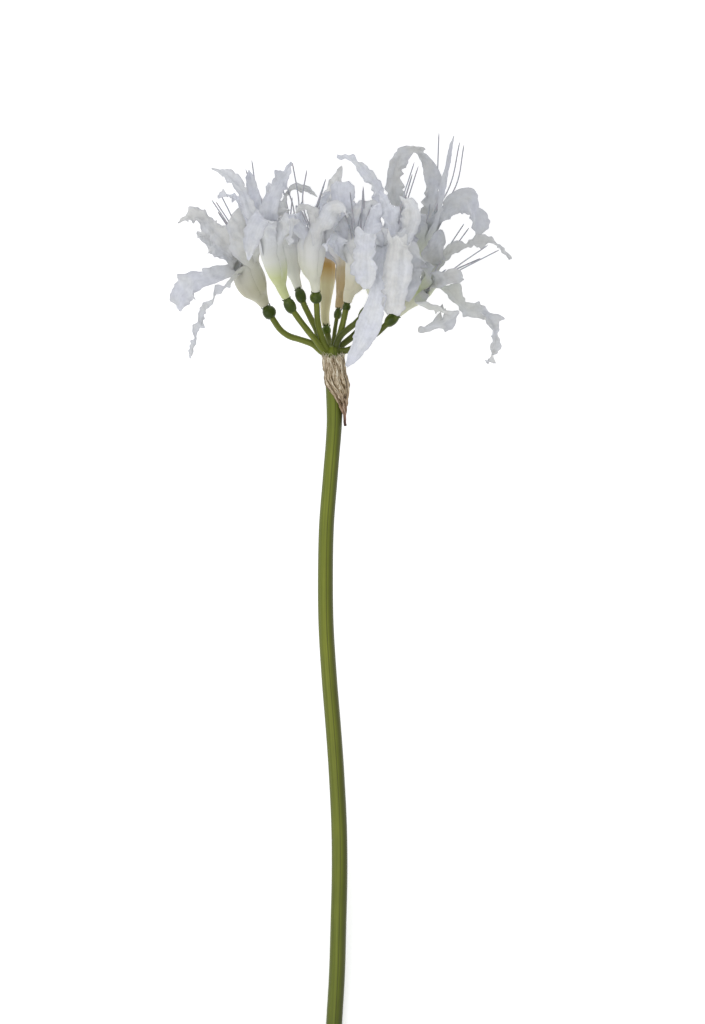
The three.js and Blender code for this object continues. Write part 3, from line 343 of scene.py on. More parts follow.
class Shape:
    """Collects closed grids of points into one mesh. Every point has a mark: where it is across and along its
    part, and that part's number."""

    def __init__(self):
        self.points, self.marks, self.faces, self.uvs, self.slots, self.count = [], [], [], [], [], 0

    def add(self, points, marks, faces, uvs, slot):
        self.points.append(points)
        self.marks.append(marks)
        self.faces += [[i + self.count for i in f] for f in faces]
        self.uvs += uvs
        self.slots += [slot] * len(faces)
        self.count += len(points)

    def sheet(self, top, low, marks, cells, slot, inner=0.0):
        """A closed sheet of two grids that share their outer edge. cells are two (u0, v0, u1, v1) map places,
        and inner is added to the top grid's marks along."""
        n, m = top.shape[:2]
        ids = np.arange(n * m).reshape(n, m)
        under = ids.copy()
        under[1:-1, 1:-1] = n * m + np.arange((n - 2) * (m - 2)).reshape(n - 2, m - 2)
        rim = np.ones((n, m), bool)
        rim[1:-1, 1:-1] = False
        upper = np.where(rim[..., None], (top + low) / 2, top)
        points = np.concatenate([upper.reshape(-1, 3), low[1:-1, 1:-1].reshape(-1, 3)])
        upper = marks + np.where(rim, 0.0, inner)[..., None] * np.array([0, 1.0, 0])
        marks = np.concatenate([upper.reshape(-1, 3), marks[1:-1, 1:-1].reshape(-1, 3)])
        corners, faces, uvs = [(0, 0), (1, 0), (1, 1), (0, 1)], [], []
        for grid, (u0, v0, u1, v1) in zip((ids, under), cells):
            for i in range(n - 1):
                for j in range(m - 1):
                    faces.append([int(grid[i + a, j + b]) for a, b in corners])
                    uvs += [(mix(u0, u1, (j + b) / (m - 1)), mix(v0, v1, (i + a) / (n - 1))) for a, b in corners]
            corners.reverse()
        self.add(points, marks, faces, uvs, slot)

    def tube(self, rings, marks, ends, cell, slot):
        """A closed bar of rings of points, with a point at each end."""
        n, k = rings.shape[:2]
        points = np.concatenate([rings.reshape(-1, 3), np.array(ends)])
        marks = np.concatenate([marks.reshape(-1, 3), marks[0, :1], marks[-1, :1]])
        u0, v0, u1, v1 = cell
        place = lambda i, j: (mix(u0, u1, j / k), mix(v0, v1, (i + 1) / (n + 1)))
        faces, uvs = [], []
        for i in range(n - 1):
            for j in range(k):
                corners = [(i, j), (i, j + 1), (i + 1, j + 1), (i + 1, j)]
                faces.append([a * k + b % k for a, b in corners])
                uvs += [place(a, b) for a, b in corners]
        for j in range(k):
            faces.append([n * k, (j + 1) % k, j])
            uvs += [place(-1, j + 0.5), place(0, j + 1), place(0, j)]
            faces.append([n * k + 1, (n - 1) * k + j, (n - 1) * k + (j + 1) % k])
            uvs += [place(n, j + 0.5), place(n - 1, j), place(n - 1, j + 1)]
        self.add(points, marks, faces, uvs, slot)

    def build(self, name, materials):
        mesh = bpy.data.meshes.new(name)
        mesh.from_pydata(((np.concatenate(self.points) + SHIFT) / 1000).tolist(), [], self.faces)
        mark = mesh.attributes.new("place", "FLOAT_VECTOR", "POINT")
        mark.data.foreach_set("vector", np.concatenate(self.marks).astype(np.float32).ravel())
        uv = mesh.uv_layers.new(name=UV)
        uv.data.foreach_set("uv", np.array(self.uvs, np.float32).ravel())
        for m in materials:
            mesh.materials.append(m)
        mesh.polygons.foreach_set("material_index", self.slots)
        mesh.shade_smooth()
        mesh.update()
        return put(name, mesh)


def bar(shape, path, radius, sides, steps, cell, slot, seed=0.0, side=(1, 0, 0), swell=None):
    """A round bar with rounded ends, kept above the floor. radius takes the share along, and swell takes that
    and the angle round the bar."""
    s = np.linspace(0, 1, steps + 1)
    p, t, w, n = path.frames(s, side)
    angle = np.linspace(0, TURN, sides, endpoint=False)
    r = radius(s)[:, None] * (swell(s[:, None], angle) if swell else np.ones(sides))
    around = np.cos(angle)[:, None] * w[:, None] + np.sin(angle)[:, None] * n[:, None]
    rings = p[:, None] + r[..., None] * around
    ends = np.array([p[0] - t[0] * r[0, 0] * 0.25, p[-1] + t[-1] * r[-1, 0] * 0.25])
    for points in (rings, ends):
        points[..., 2] = np.maximum(points[..., 2], 0)
    shape.tube(rings, marked(angle / TURN, s[:, None], seed), ends, cell, slot)


# -------- materials
class Look:
    """A node material round one Principled shader. Values are numbers, colours or other nodes' outputs."""

    def __init__(self, name, **values):
        self.material = bpy.data.materials.new(name)
        self.material.use_nodes = True
        self.tree = self.material.node_tree
        self.shader = self.tree.nodes["Principled BSDF"]
        for key, value in values.items():
            self.shader.inputs[key.replace("_", " ")].default_value = value

    def feed(self, socket, value):
        if hasattr(value, "default_value"):
            self.tree.links.new(value, socket)
        else:
            socket.default_value = value

    def node(self, kind, **values):
        made = self.tree.nodes.new("ShaderNode" + kind)
        for key, value in values.items():
            self.feed(made.inputs[key], value)
        return made

    def math(self, operation, *values):
        made = self.node("Math")
        made.operation = operation
        for socket, value in zip(made.inputs, values):
            self.feed(socket, value)
        return made.outputs[0]

    def plus(self, a, b):
        return self.math("ADD", a, b)

    def times(self, a, b):
        return self.math("MULTIPLY", a, b)

    def about_0(self, noise, size):
        """A noise moved to lie about 0, times size."""
        return self.times(self.math("SUBTRACT", noise, 0.5), size)

    def ramp(self, source, stops):
        """Colours, or numbers for greys, between these places."""
        made = self.node("ValToRGB", Fac=source)
        points = made.color_ramp.elements
        while len(points) < len(stops):
            points.new(0.5)
        for e, (where, colour) in zip(points, stops):
            e.position = where
            e.color = (*colour, 1) if isinstance(colour, tuple) else (colour, colour, colour, 1)
        return made.outputs["Color"]

    def blend(self, factor, a, b, kind="MIX"):
        made = self.node("Mix")
        made.data_type, made.blend_type = "RGBA", kind
        for i, value in ((0, factor), (6, a), (7, b)):  # the inputs for a mix of colours
            self.feed(made.inputs[i], (*value, 1) if isinstance(value, tuple) else value)
        return made.outputs[2]

    def tint(self, colour, by):
        return self.blend(1, colour, by, "MULTIPLY")

    def place(self):
        """Reads the points' marks: each number, and all three as a vector."""
        source = self.node("Attribute")
        source.attribute_name = "place"
        self.vector = source.outputs["Vector"]
        self.across, self.along, self.number = self.node("SeparateXYZ", Vector=self.vector).outputs

    def noise(self, vector, scale, detail=3, roughness=0.5, stretch=None):
        if stretch:
            vector = self.node("Mapping", Vector=vector, Scale=stretch).outputs[0]
        return self.node("TexNoise", Vector=vector, Scale=scale, Detail=detail, Roughness=roughness).outputs[0]

    def objects(self):
        """Places in metres."""
        return self.node("TexCoord").outputs["Object"]

    def finish(self, colour, height=None, distance=0.0002, strength=0.5, rough=None):
        self.feed(self.shader.inputs["Base Color"], colour)
        if height:
            bump = self.node("Bump", Height=height, Strength=strength, Distance=distance)
            self.feed(self.shader.inputs["Normal"], bump.outputs[0])
        if rough:
            self.feed(self.shader.inputs["Roughness"], rough)
        return self.material


def petal_look(name):
    """White tepals with faint veins. The tube's own colour fades out past the mouth."""
    (low, high), shade = BLOOMS[name]["tube"], BLOOMS[name].get("shade", 1)
    look = Look("petal_" + name[-2:], Roughness=0.5, Specular_IOR_Level=0.32, Sheen_Weight=0.12,
                Sheen_Roughness=0.5, Subsurface_Weight=0.15, Subsurface_Radius=(0.97, 1, 1),
                Subsurface_Scale=0.002)
    look.place()
    objects = look.objects()
    # Each tepal has its own tint from bluish to creamy white, in soft patches of a centimetre and of 3 mm.
    phase = look.math("SUBTRACT", look.times(look.number, 1.7), 3.78)
    own = look.times(look.math("SINE", phase), 0.22)
    patches = look.noise(objects, 70, 2.5)
    body = look.ramp(look.plus(look.noise(objects, 110, 2), own), [
        (0.26, (0.685, 0.685, 0.672)), (0.44, (0.69, 0.70, 0.715)), (0.60, (0.685, 0.70, 0.745)),
        (0.78, (0.65, 0.665, 0.735))])
    fine = look.noise(objects, 330, 3, 0.6)
    # The fine patches are the tepals' own; shade scales them as painted light and shade.
    body = look.tint(body, look.ramp(fine, [(0.34, 1.05 * shade), (0.50, shade), (0.66, 0.92 * shade)]))
    # Edges and crimps are a duller lilac grey: partly the tepals' own lilac, partly painted shade in the crimps and
    # along the rims.
    outer = look.plus(look.math("ABSOLUTE", look.across), look.about_0(patches, 0.8))
    body = look.blend(look.ramp(outer, [(0.68, 0), (1, 0.45)]), body, (0.47, 0.475, 0.52))
    # Veins run along, and waver a little.
    waver = look.about_0(look.noise(look.vector, 5, 2), 0.10)
    wave = look.math("SINE", look.times(look.plus(look.across, waver), 11))
    veins = look.math("POWER", look.math("ABSOLUTE", wave), 8)
    body = look.blend(look.times(veins, 0.13), body, (0.52, 0.54, 0.58))
    # The inner faces of the tube, whose marks along are 2 and more, are whiter: painted light that lifts the shade
    # deep in the mouths.
    throat = look.ramp(look.times(look.along, 0.25), [(0.52, 0), (0.70, 1)])
    body = look.blend(throat, body, (0.93, 0.94, 0.88))
    far = look.times(look.along, 0.5)
    tube = look.ramp(far, [(0, low), (0.30, low), (0.44, high), (0.52, high), (1, high)])
    streaks = look.noise(look.vector, 3, stretch=(6, 0.6, 7))
    tube = look.blend(look.times(streaks, 0.3), tube, tuple(0.78 * c for c in high))
    reach = look.plus(far, look.about_0(patches, 0.10))
    part = look.ramp(reach, [(0, 0), (0.46, 0), (0.60, 0.86), (0.78, 1)])
    height = look.plus(look.times(veins, -0.2), look.noise(objects, 500, 4))
    return look.finish(look.blend(part, tube, body), height, 0.00018, 0.55)


def filament_look():
    look = Look("filament", Roughness=0.45, Subsurface_Weight=0.1, Subsurface_Scale=0.001)
    look.place()
    colour = look.ramp(look.along, [
        (0, (0.86, 0.87, 0.78)), (0.35, (0.80, 0.81, 0.80)), (0.60, (0.58, 0.59, 0.63)),
        (0.9, (0.45, 0.46, 0.51)), (1, (0.38, 0.38, 0.42))])
    speckle = look.times(look.noise(look.objects(), 500), 0.3)
    return look.finish(look.blend(speckle, colour, (0.30, 0.31, 0.33)))


def green_look(name, colours, rough, stretch, spread, streaks):
    """A fleshy skin with lines along it and soft blotches, in three colours from dark to light."""
    look = Look(name, Roughness=rough, Specular_IOR_Level=0.3)
    look.place()
    look.lines = look.noise(look.vector, 1, 4, 0.6, stretch)
    look.blotch = look.noise(look.objects(), 60)
    mixed = look.plus(look.times(look.lines, streaks), look.times(look.blotch, 1 - streaks))
    return look, look.ramp(mixed, list(zip((0.5 - spread, 0.5, 0.5 + spread), colours)))


def stem_look():
    look, colour = green_look(
        "scape_skin", ((0.137, 0.156, 0.016), (0.195, 0.221, 0.021), (0.267, 0.296, 0.039)),
        0.42, (26, 7, 1), 0.22, 0.75)
    # Paler and yellower in its upper part, darker lower down.
    colour = look.tint(colour, look.ramp(look.along, [
        (0, (0.78, 0.84, 0.74)), (0.18, (0.95, 0.98, 0.9)), (0.42, 1), (0.72, (0.86, 0.88, 0.9)),
        (1, (0.70, 0.76, 0.72))]))
    # Painted light round the stem, where 0 is up: a painted highlight along the top and painted shade down both
    # flanks, darkest on one, which is also tinted purple, a flush of its own.
    round_it = look.plus(look.times(look.math("SINE", look.times(look.across, TURN)), -0.5), 0.5)
    colour = look.tint(colour, look.ramp(round_it, [
        (0, (0.62, 0.64, 0.70)), (0.25, (0.88, 0.90, 0.88)), (0.45, (1.06, 1.06, 0.95)),
        (0.62, (0.86, 0.88, 0.78)), (0.80, (0.46, 0.46, 0.44)), (1, (0.40, 0.36, 0.62))]))
    height = look.plus(look.lines, look.times(look.noise(look.objects(), 1500, 2), 0.25))
    return look.finish(colour, height, 0.00022, 0.5, look.ramp(look.blotch, [(0.2, 0.36), (0.8, 0.52)]))


def stalk_look():
    look, colour = green_look(
        "pedicel_skin", ((0.065, 0.081, 0.005), (0.137, 0.163, 0.016), (0.234, 0.260, 0.046)),
        0.40, (9, 2.2, 9), 0.24, 0.6)
    # Some stalks are darker and a little bluer: painted shade. A stalk's number is at most 3.
    colour = look.tint(colour, look.ramp(look.math("DIVIDE", look.number, 3), [
        (0, 1), (0.40, 1), (0.50, (0.62, 0.62, 0.7)), (0.62, 1), (0.72, (0.55, 0.58, 0.62)),
        (1, (0.66, 0.68, 0.80))]))
    return look.finish(colour, look.lines, 0.00015, 0.4)


def ovary_look():
    look, colour = green_look(
        "ovary_skin", ((0.018, 0.034, 0.001), (0.047, 0.075, 0.004), (0.143, 0.182, 0.023)),
        0.28, (7, 3, 9), 0.20, 0.35)
    top = look.ramp(look.along, [(0, 0), (0.72, 0), (0.95, 0.55)])
    colour = look.blend(top, colour, (0.11, 0.15, 0.035))
    # The fifth ovary is lighter.
    colour = look.tint(colour, look.ramp(look.math("DIVIDE", look.number, 3), [
        (0.36, 1), (0.41, (1.9, 1.8, 1.8)), (0.46, 1)]))
    return look.finish(colour, look.noise(look.objects(), 700), 0.0002, 0.4)


def paper_look():
    look = Look("dry_paper", Roughness=0.85, Sheen_Weight=0.15, Specular_IOR_Level=0.2)
    look.place()
    # Streaks and fine streaks run along, and wander across.
    wander = look.about_0(look.noise(look.vector, 3.2), 0.5)
    moved = look.node("CombineXYZ", X=look.plus(look.across, wander), Y=look.along, Z=look.number).outputs[0]
    streaks = look.noise(moved, 1, 5, 0.7, (9, 3.4, 1))
    fine = look.noise(moved, 1, 4, 0.7, (40, 12, 1))
    paper = look.ramp(look.plus(look.times(streaks, 0.6), look.times(fine, 0.4)), [
        (0.41, (0.045, 0.032, 0.014)), (0.46, (0.190, 0.135, 0.070)), (0.505, (0.430, 0.340, 0.220)),
        (0.55, (0.680, 0.575, 0.420)), (0.60, (0.950, 0.920, 0.780))])
    # Pinkish brown below the middle, dark purple at the tip.
    colour = look.tint(paper, look.ramp(look.along, [
        (0, 1), (0.5, (1, 0.97, 0.94)), (0.74, (0.90, 0.74, 0.70)), (0.88, (0.62, 0.42, 0.42)),
        (1, (0.30, 0.16, 0.19))]))
    return look.finish(colour, look.plus(streaks, look.times(fine, 0.6)), 0.0005, 0.7)


def fibre_look():
    look = Look("dry_fibre", Roughness=0.8)
    colour = look.ramp(look.noise(look.objects(), 600), [(0.3, (0.48, 0.40, 0.25)), (0.7, (0.88, 0.83, 0.66))])
    return look.finish(colour)


# -------- a bloom
SEAT = 0.35  # mm between an ovary and its bloom
THICK = 0.42  # mm, middle of a tepal
ROW = 0.52  # mm between a tepal's rows of points, where 60 to 150 rows allow it
ACROSS = np.array([-1, -0.95, -0.82, -0.62, -0.38, -0.14, 0, 0.14, 0.38, 0.62, 0.82, 0.95, 1])


def mouth(b):
    """The bloom's tube: its middle line with the two normals along it, and the mouth's middle, axis and two
    directions across."""
    c, a = at(b["throat"]), unit(np.array(b["axis"], float))
    e1 = unit(np.array([1.0, 0, 0]) - a[0] * a)
    e2 = np.cross(a, e1)
    o, last = at(b["ovary"]), at(b["stalk"][-1])
    up = unit(unit(c - o) + unit(o - last))
    seat = o + up * (b["size"][1] + SEAT)
    tube = Path([seat, seat + 5 * up, c - 9 * a, c])  # straight for 5 mm, and into the mouth for 9 mm
    s = np.linspace(0, 1, 41)
    p, _, w, n = tube.frames(s, e1)
    turn = math.atan2(np.dot(w[-1], e2), np.dot(w[-1], e1))
    w, n = w * math.cos(turn) - n * math.sin(turn), n * math.cos(turn) + w * math.sin(turn)
    return dict(c=c, a=a, e1=e1, e2=e2, o=o, up=up, tube=tube, s=s, p=p, w=w, n=n)


def outward(m, angle):
    return m["e1"] * math.cos(angle) + m["e2"] * math.sin(angle)


def tube_radius(b, s):
    return 1.8 + (b["r"] - 1.2) * smooth(-0.15, b.get("swell", 1.05), s)


def seat_radius(b, s, inner_layer):
    """Where a tepal's middle lies on the tube: in the wall at its foot, just proud of it higher up."""
    return tube_radius(b, s) - mix(0.55, 0.25 + 0.3 * inner_layer, smooth(0.3, 0.6, s)) - 0.35 * smooth(0.7, 1, s)


def on_tube(m, s, angle, r):
    """A point at radius r, in the direction of an angle round the mouth, at a share of the tube's length."""
    pick = lambda v: np.stack([np.interp(s, m["s"], v[:, k]) for k in range(3)], axis=-1)
    out = pick(m["w"]) * np.cos(angle)[..., None] + pick(m["n"]) * np.sin(angle)[..., None]
    return pick(m["p"]) + out * np.asarray(r)[..., None]


def funnel(shape, b, m, cell):
    """The tube's own wall, with a groove between each two tepals and a notch in its rim there, and a shallow
    cup inside. The cup's marks along are above 3, which the petal look paints white, as painted light in the shaded
    mouth."""
    sides, steps, cup = 48, 26, 13
    angle = np.linspace(0, TURN, sides, endpoint=False)
    # 1 at the middle of a tepal, falling off towards the grooves.
    off = [(angle - math.radians(t[0]) + math.pi) % TURN - math.pi for t in b["tepals"]]
    near = np.max([np.cos(np.clip(o, -0.6, 0.6) * 2.4) for o in off], axis=0)
    rings = []
    top = 0.86 + 0.06 * near
    for i in range(steps + 1):
        s = -0.03 + (i / steps) * (top + 0.03)
        wide = (tube_radius(b, s) - 0.34 * smooth(0.05, 0.3, s) - 0.35 * smooth(0.35, 0.6, s)
                - 0.3 * smooth(0.7, 0.95, s) + 0.06 * near * smooth(0.05, 0.4, s))
        rings.append(on_tube(m, s, angle, wide))
    for i in range(cup + 1):
        s = top * (1 - i / cup * 0.05)
        wide = np.maximum(0.35, tube_radius(b, s) - 1.25 + 0.1 * near) * (1 - 0.75 * (i / cup) ** 1.5)
        rings.append(on_tube(m, s, angle, wide))
    along = np.concatenate([np.linspace(0, 0.97, steps + 1), np.linspace(3.1, 3.6, cup + 1)])
    ends = [on_tube(m, s, 0.0, 0.0) for s in (-0.06, 0.84)]
    shape.tube(np.array(rings), marked(near * 0.4, along[:, None], 0.5), ends, cell, 0)


def tepal(shape, b, m, index, cells, rnd):
    """A thin closed sheet along its drawn run, with waves, frills, crumples and folds."""
    root, width, face, run, *more = b["tepals"][index]
    more = more[0] if more else {}
    frill = more.get("frill", 1)
    angle, inner_layer = math.radians(root), index % 2
    out = outward(m, angle)
    # It lies on the tube from a third of its length, crosses the rim and follows its drawn run.
    low = [on_tube(m, s, angle, seat_radius(b, s, inner_layer)) for s in (0.3, 0.5, 0.7, 0.85)]
    rim = m["c"] + out * seat_radius(b, 1, inner_layer)
    path = Path(low + [rim] + [at(p) for p in run])
    at_root, at_rim = path.nearest(low[3]), path.nearest(rim)
    full = np.linspace(0, 1, int(np.clip(path.length / ROW, 60, 150)))
    p, t, w, n = path.frames(full, np.cross(m["a"], out))
    own = np.clip((full - at_root) / (1 - at_root), 0, 1)  # share of the way from the root to the tip
    # The blade rolls until its middle faces the way it is drawn, and bends down or up by lift.
    middle = int(np.argmin(np.abs(own - 0.6)))
    across = np.cross(t[middle], (0, 0, 1.0))
    roll = 0.0
    if np.linalg.norm(across) > 0.35:
        across = unit(across)
        if np.dot(across, w[middle]) < 0:
            across = -across
        bent = np.dot(n[middle], across)
        roll = math.atan2(bent, np.dot(w[middle], across)) + math.radians(face) * (1 if bent < 0 else -1)
    a = (roll * smooth(0.08, 0.6, own))[:, None]
    w, n = w * np.cos(a) + n * np.sin(a), n * np.cos(a) - w * np.sin(a)
    p = p + np.array([0, 0, 1.0]) * (more.get("lift", 0) * smooth(0.05, 1, own))[:, None]

    # k is across from -1 to 1, s along from the root to the tip, and mm along from the path's start.
    k, s, mm = ACROSS, own[:, None], (full * path.length)[:, None]
    wide, right = np.abs(k), k > 0
    half = width / 2 * lookup(FORMS[more.get("form", "pointed")], own)[:, None]
    half = np.maximum(half, min(0.56 * b["r"], 0.3 * width + 2.2) * (1 - smooth(0.14, 0.5, s)))
    turn, phase = TURN * more.get("waves", 3), 1.3 * index + b["r"]
    phases = [rnd.uniform(0, 6.28) for _ in range(13)]

    def edge(i, length):
        """A wave of about this length in mm along each edge."""
        return np.sin(TURN * mm / length + phases[i] + np.where(right, phases[i + 1], 0)
                      + 0.9 * np.sin(mm / 4.1 + phases[i]))

    # Waves of the whole blade, then frills and crimps of its edges, which come and go along it.
    calm = np.sin(mm / 5.3 + phases[10] + np.where(right, 2.1 + phases[11], 0))
    calm = np.clip(0.85 + 0.55 * calm, 0.35, 1.4)
    grown = frill * calm * smooth(0.10, 0.35, s) * (1 - 0.4 * smooth(0.88, 1, s))
    frills = 0.10 * edge(0, 6.4) + 0.06 * edge(2, 3.6) + 0.015 * edge(10, 2.1)
    lateral = k * (half * (1 + 0.10 * np.sin(turn * s + phase + 1) + grown * frills))
    ripple = 0.24 * width * grown * np.sin(turn * s + phase + np.where(right, 2.0, 0.0))
    crimp = grown * (min(0.11 * width, 0.95) * edge(4, 7.3) + min(0.065 * width, 0.55) * edge(6, 3.7))
    channel = -0.22 * smooth(0.34, 0.0, wide) * smooth(0.0, 0.2, s) * (1 - smooth(0.8, 1, s))
    depth = wide ** 1.5 * ripple + wide ** 2.6 * crimp + wide ** 1.4 * 0.10 * width + channel
    # Crumples of five sizes in mm, pleats, and long folds.
    crumple = 0
    for q, size in enumerate((7.5, 5.6, 4.4, 3.3, 2.6)):
        bend = phases[(3 * q + 1) % 13]
        way = mm * math.cos(bend / 3) + lateral * 1.4 * math.sin(bend)
        crumple = crumple + 0.055 * size * np.sin(TURN * way / size + phases[(5 * q + 2) % 13])
    depth = depth + smooth(0.08, 0.3, s) * min(1, frill + 0.3) * crumple * (0.5 + 0.5 * wide)
    pleats = np.sin(5.2 * k + phases[8] + 0.9 * np.sin(mm / 8.3 + phases[9])) * 0.026 * width
    fine = 0.12 * np.sin(mm / 1.7 + 3 * k + phases[8]) * np.sin(k * 4.0 + phases[9])
    depth = depth + grown * (pleats + fine)
    folds = 0.014 * more.get("folds", 1) * width * (
        np.sin(6.1 * k + phases[6] + 0.5 * np.sin(mm / 11))
        + 0.6 * np.sin(10.5 * k + phases[7] + 0.7 * np.sin(mm / 7)))
    depth = depth + folds * smooth(0.12, 0.35, s) * (1 - 0.7 * smooth(0.8, 1, s))

    # In the tube a tepal lies on the funnel's wall, and reaches a little past half way to its neighbours.
    others = [other[0] for j, other in enumerate(b["tepals"]) if j != index]
    gaps = min((r - root) % 360 for r in others), min((root - r) % 360 for r in others)
    spread = np.where(right, *(min(gap / 2 * 1.25, 52) for gap in gaps)) * math.pi / 180
    past = (full - at_rim) * path.length  # mm past the rim
    tube_part = np.interp(full, [0, at_rim, 1], [0.3, 1.0, 2.0])
    tube_r = (seat_radius(b, np.minimum(tube_part, 1), inner_layer) + 0.2 * np.clip(past, 0, 20))[:, None]
    free = smooth(0, 17, past)[:, None]
    lateral = mix(tube_r * np.sin(k * spread), lateral, free)
    depth = mix(tube_r * (1 - np.cos(k * spread)), depth, free)

    thick = THICK * (1 - wide ** 3 * 0.75) * (0.35 + 0.65 * smooth(0, 0.08, full))[:, None]
    centre = p[:, None] + w[:, None] * lateral[..., None] + n[:, None] * depth[..., None]
    top, bottom = (centre + sign * n[:, None] * thick[..., None] / 2 for sign in (1, -1))
    rise = np.maximum(0, 0.02 - np.minimum(top[..., 2], bottom[..., 2]))  # to stay above the floor
    top[..., 2] += rise
    bottom[..., 2] += rise
    # The inner face is marked as the tube's inside, up to a few mm past the rim, where the petal look paints it whiter
    # as painted light.
    inside = 2 * (1 - smooth(-3, 5, past))[:, None]
    shape.sheet(top, bottom, marked(k, tube_part[:, None], index * 0.37 + b["r"]), cells, 0, inside)


def filament(shape, b, m, index, cell):
    """Six filaments in a ring, and the style in the middle."""
    style = index == 6
    out = outward(m, TURN * index / 6 + 0.4) * (not style)
    foot = [m["tube"].point(0.24) + out * 1.3, m["tube"].point(0.6) + out * 1.6, m["c"] + out * 2.4]
    path = Path(foot + [at(p) for p in b["stamens"][2 * index:2 * index + 2]])
    r = 0.53 if style else 0.47
    radius = lambda s: r * (1.05 - 0.35 * s) * (1 - 0.55 * smooth(0.985, 1, s))
    bar(shape, path, radius, 8, 34, cell, 1, seed=index * 0.7)


def bloom(name, petal, thread):
    b = BLOOMS[name]
    m = mouth(b)
    rnd = random.Random(name)
    shape = Shape()
    # The map has 14 strips for the tepals' two faces and the funnel, and 7 for the filaments below them.
    gap = 0.004
    strips = [(i / 14 + gap, 0.22, (i + 1) / 14 - gap, 0.995) for i in range(14)]
    for i in range(6):
        tepal(shape, b, m, i, strips[2 * i:2 * i + 2], rnd)
    funnel(shape, b, m, (strips[12][0], 0.22, strips[13][2], 0.995))
    for i in range(7):
        filament(shape, b, m, i, (i / 7 + gap, 0.005, (i + 1) / 7 - gap, 0.21))
    made = shape.build(name + "_petals", [petal, thread])
    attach(made, "root")
    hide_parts(name)


# -------- the green body
SCAPE_RUN = [
    (333, 347, 51.5), (333.5, 355, 51), (334.5, 390, 49.5), (334.3, 425, 47.6), (330.5, 475, 43.8),
    (326.5, 525, 39.5), (325.5, 575, 35), (326, 625, 30.6), (329, 675, 26.4), (333, 725, 22.6), (336.5, 775, 19.2),
    (339, 825, 16.1), (339.5, 875, 13.2), (338.5, 925, 10.4), (337, 975, 7.4), (334.5, 1020, 5.2), (331, 1085, 3.9)]
SCAPE_R = [[0, 3.4], [0.008, 4.4], [0.02, 4.8], [0.06, 4.3], [0.1, 3.85], [0.14, 3.7], [0.5, 3.9], [1, 4.1]]
SCAPE = Path([at(p) for p in SCAPE_RUN])
HEART = (333, 352, 51)  # grid point in the scape's top that the pedicels come from
PEDICEL_R = 1.5
# An ovary's half width along it, as shares of its own.
OVARY_R = [[0, 0.40], [0.06, 0.62], [0.2, 0.90], [0.38, 1.02], [0.55, 1.04], [0.72, 0.95], [0.86, 0.74],
           [0.94, 0.56], [1, 0.42]]


def green_body(stem, stalk, ovary):
    shape = Shape()
    ridges = lambda s, a: (1 + 0.012 * np.sin(5 * a + 1.0) + 0.006 * np.sin(9 * a + 6 * s)
                           + 0.006 * np.sin(40 * s + a))
    bar(shape, SCAPE, lambda s: lookup(SCAPE_R, s), 40, 220, (0, 0, 0.3, 1), 0, side=(0, 0, 1), swell=ridges)
    for j, b in enumerate(BLOOMS.values()):
        m = mouth(b)
        o, up, (wide, tall) = m["o"], m["up"], b["size"]
        heart, first = at(HEART), at(b["stalk"][0])
        base = heart + 1.6 * unit(first - heart) + np.array([0, -2, 0])
        run = Path([base] + [at(p) for p in b["stalk"]] + [o])
        r = b.get("stalk_r", PEDICEL_R)
        thick = lambda s: r * (1.12 - 0.16 * s + 0.12 * smooth(0.85, 1, s) + 0.10 * smooth(0.12, 0, s))
        bar(shape, run, thick, 16, 40, (0.32, j / 10, 0.6, j / 10 + 0.09), 1, seed=j * 0.31,
            swell=lambda s, a: 1 + 0.03 * np.sin(3 * a + j) + 0.02 * np.sin(25 * s + 2 * a))
        three_sided = lambda s, a: (
            1 + 0.055 * np.cos(3 * a + j) * smooth(0.05, 0.4, s) * smooth(1.0, 0.7, s)
            - 0.02 * np.abs(np.sin(1.5 * a + j)) ** 8)
        bar(shape, Path([o - tall * up, o, o + tall * 1.02 * up]), lambda s: wide * lookup(OVARY_R, s), 30, 24,
            (0.62, j / 10, 0.9, j / 10 + 0.09), 2, seed=j * 0.31, swell=three_sided)
        # Torn remains of the bloom's foot stand round the top of the ovary.
        rnd = random.Random(j + 40)
        side = unit(np.cross(up, (0.3, 0.2, 1.0)))
        other = np.cross(up, side)
        for q in range(5):
            a = TURN * q / 5 + rnd.uniform(-0.4, 0.4)
            out = side * math.cos(a) + other * math.sin(a)
            foot = o + up * tall * 0.80 + out * wide * 0.62
            tip = foot + up * rnd.uniform(0.7, 1.7) + out * rnd.uniform(0.3, 0.9)
            strip = (j * 5 + q) / 50
            bar(shape, Path([foot, (foot + tip) / 2 + out * 0.2, tip]), lambda s: 0.42 * (1 - 0.8 * s), 6, 5,
                (0.92, strip, 0.99, strip + 0.015), 2, seed=q * 0.2)
    made = shape.build("green_body", [stem, stalk, ovary])
    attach(made, "root")
    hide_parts("scape")


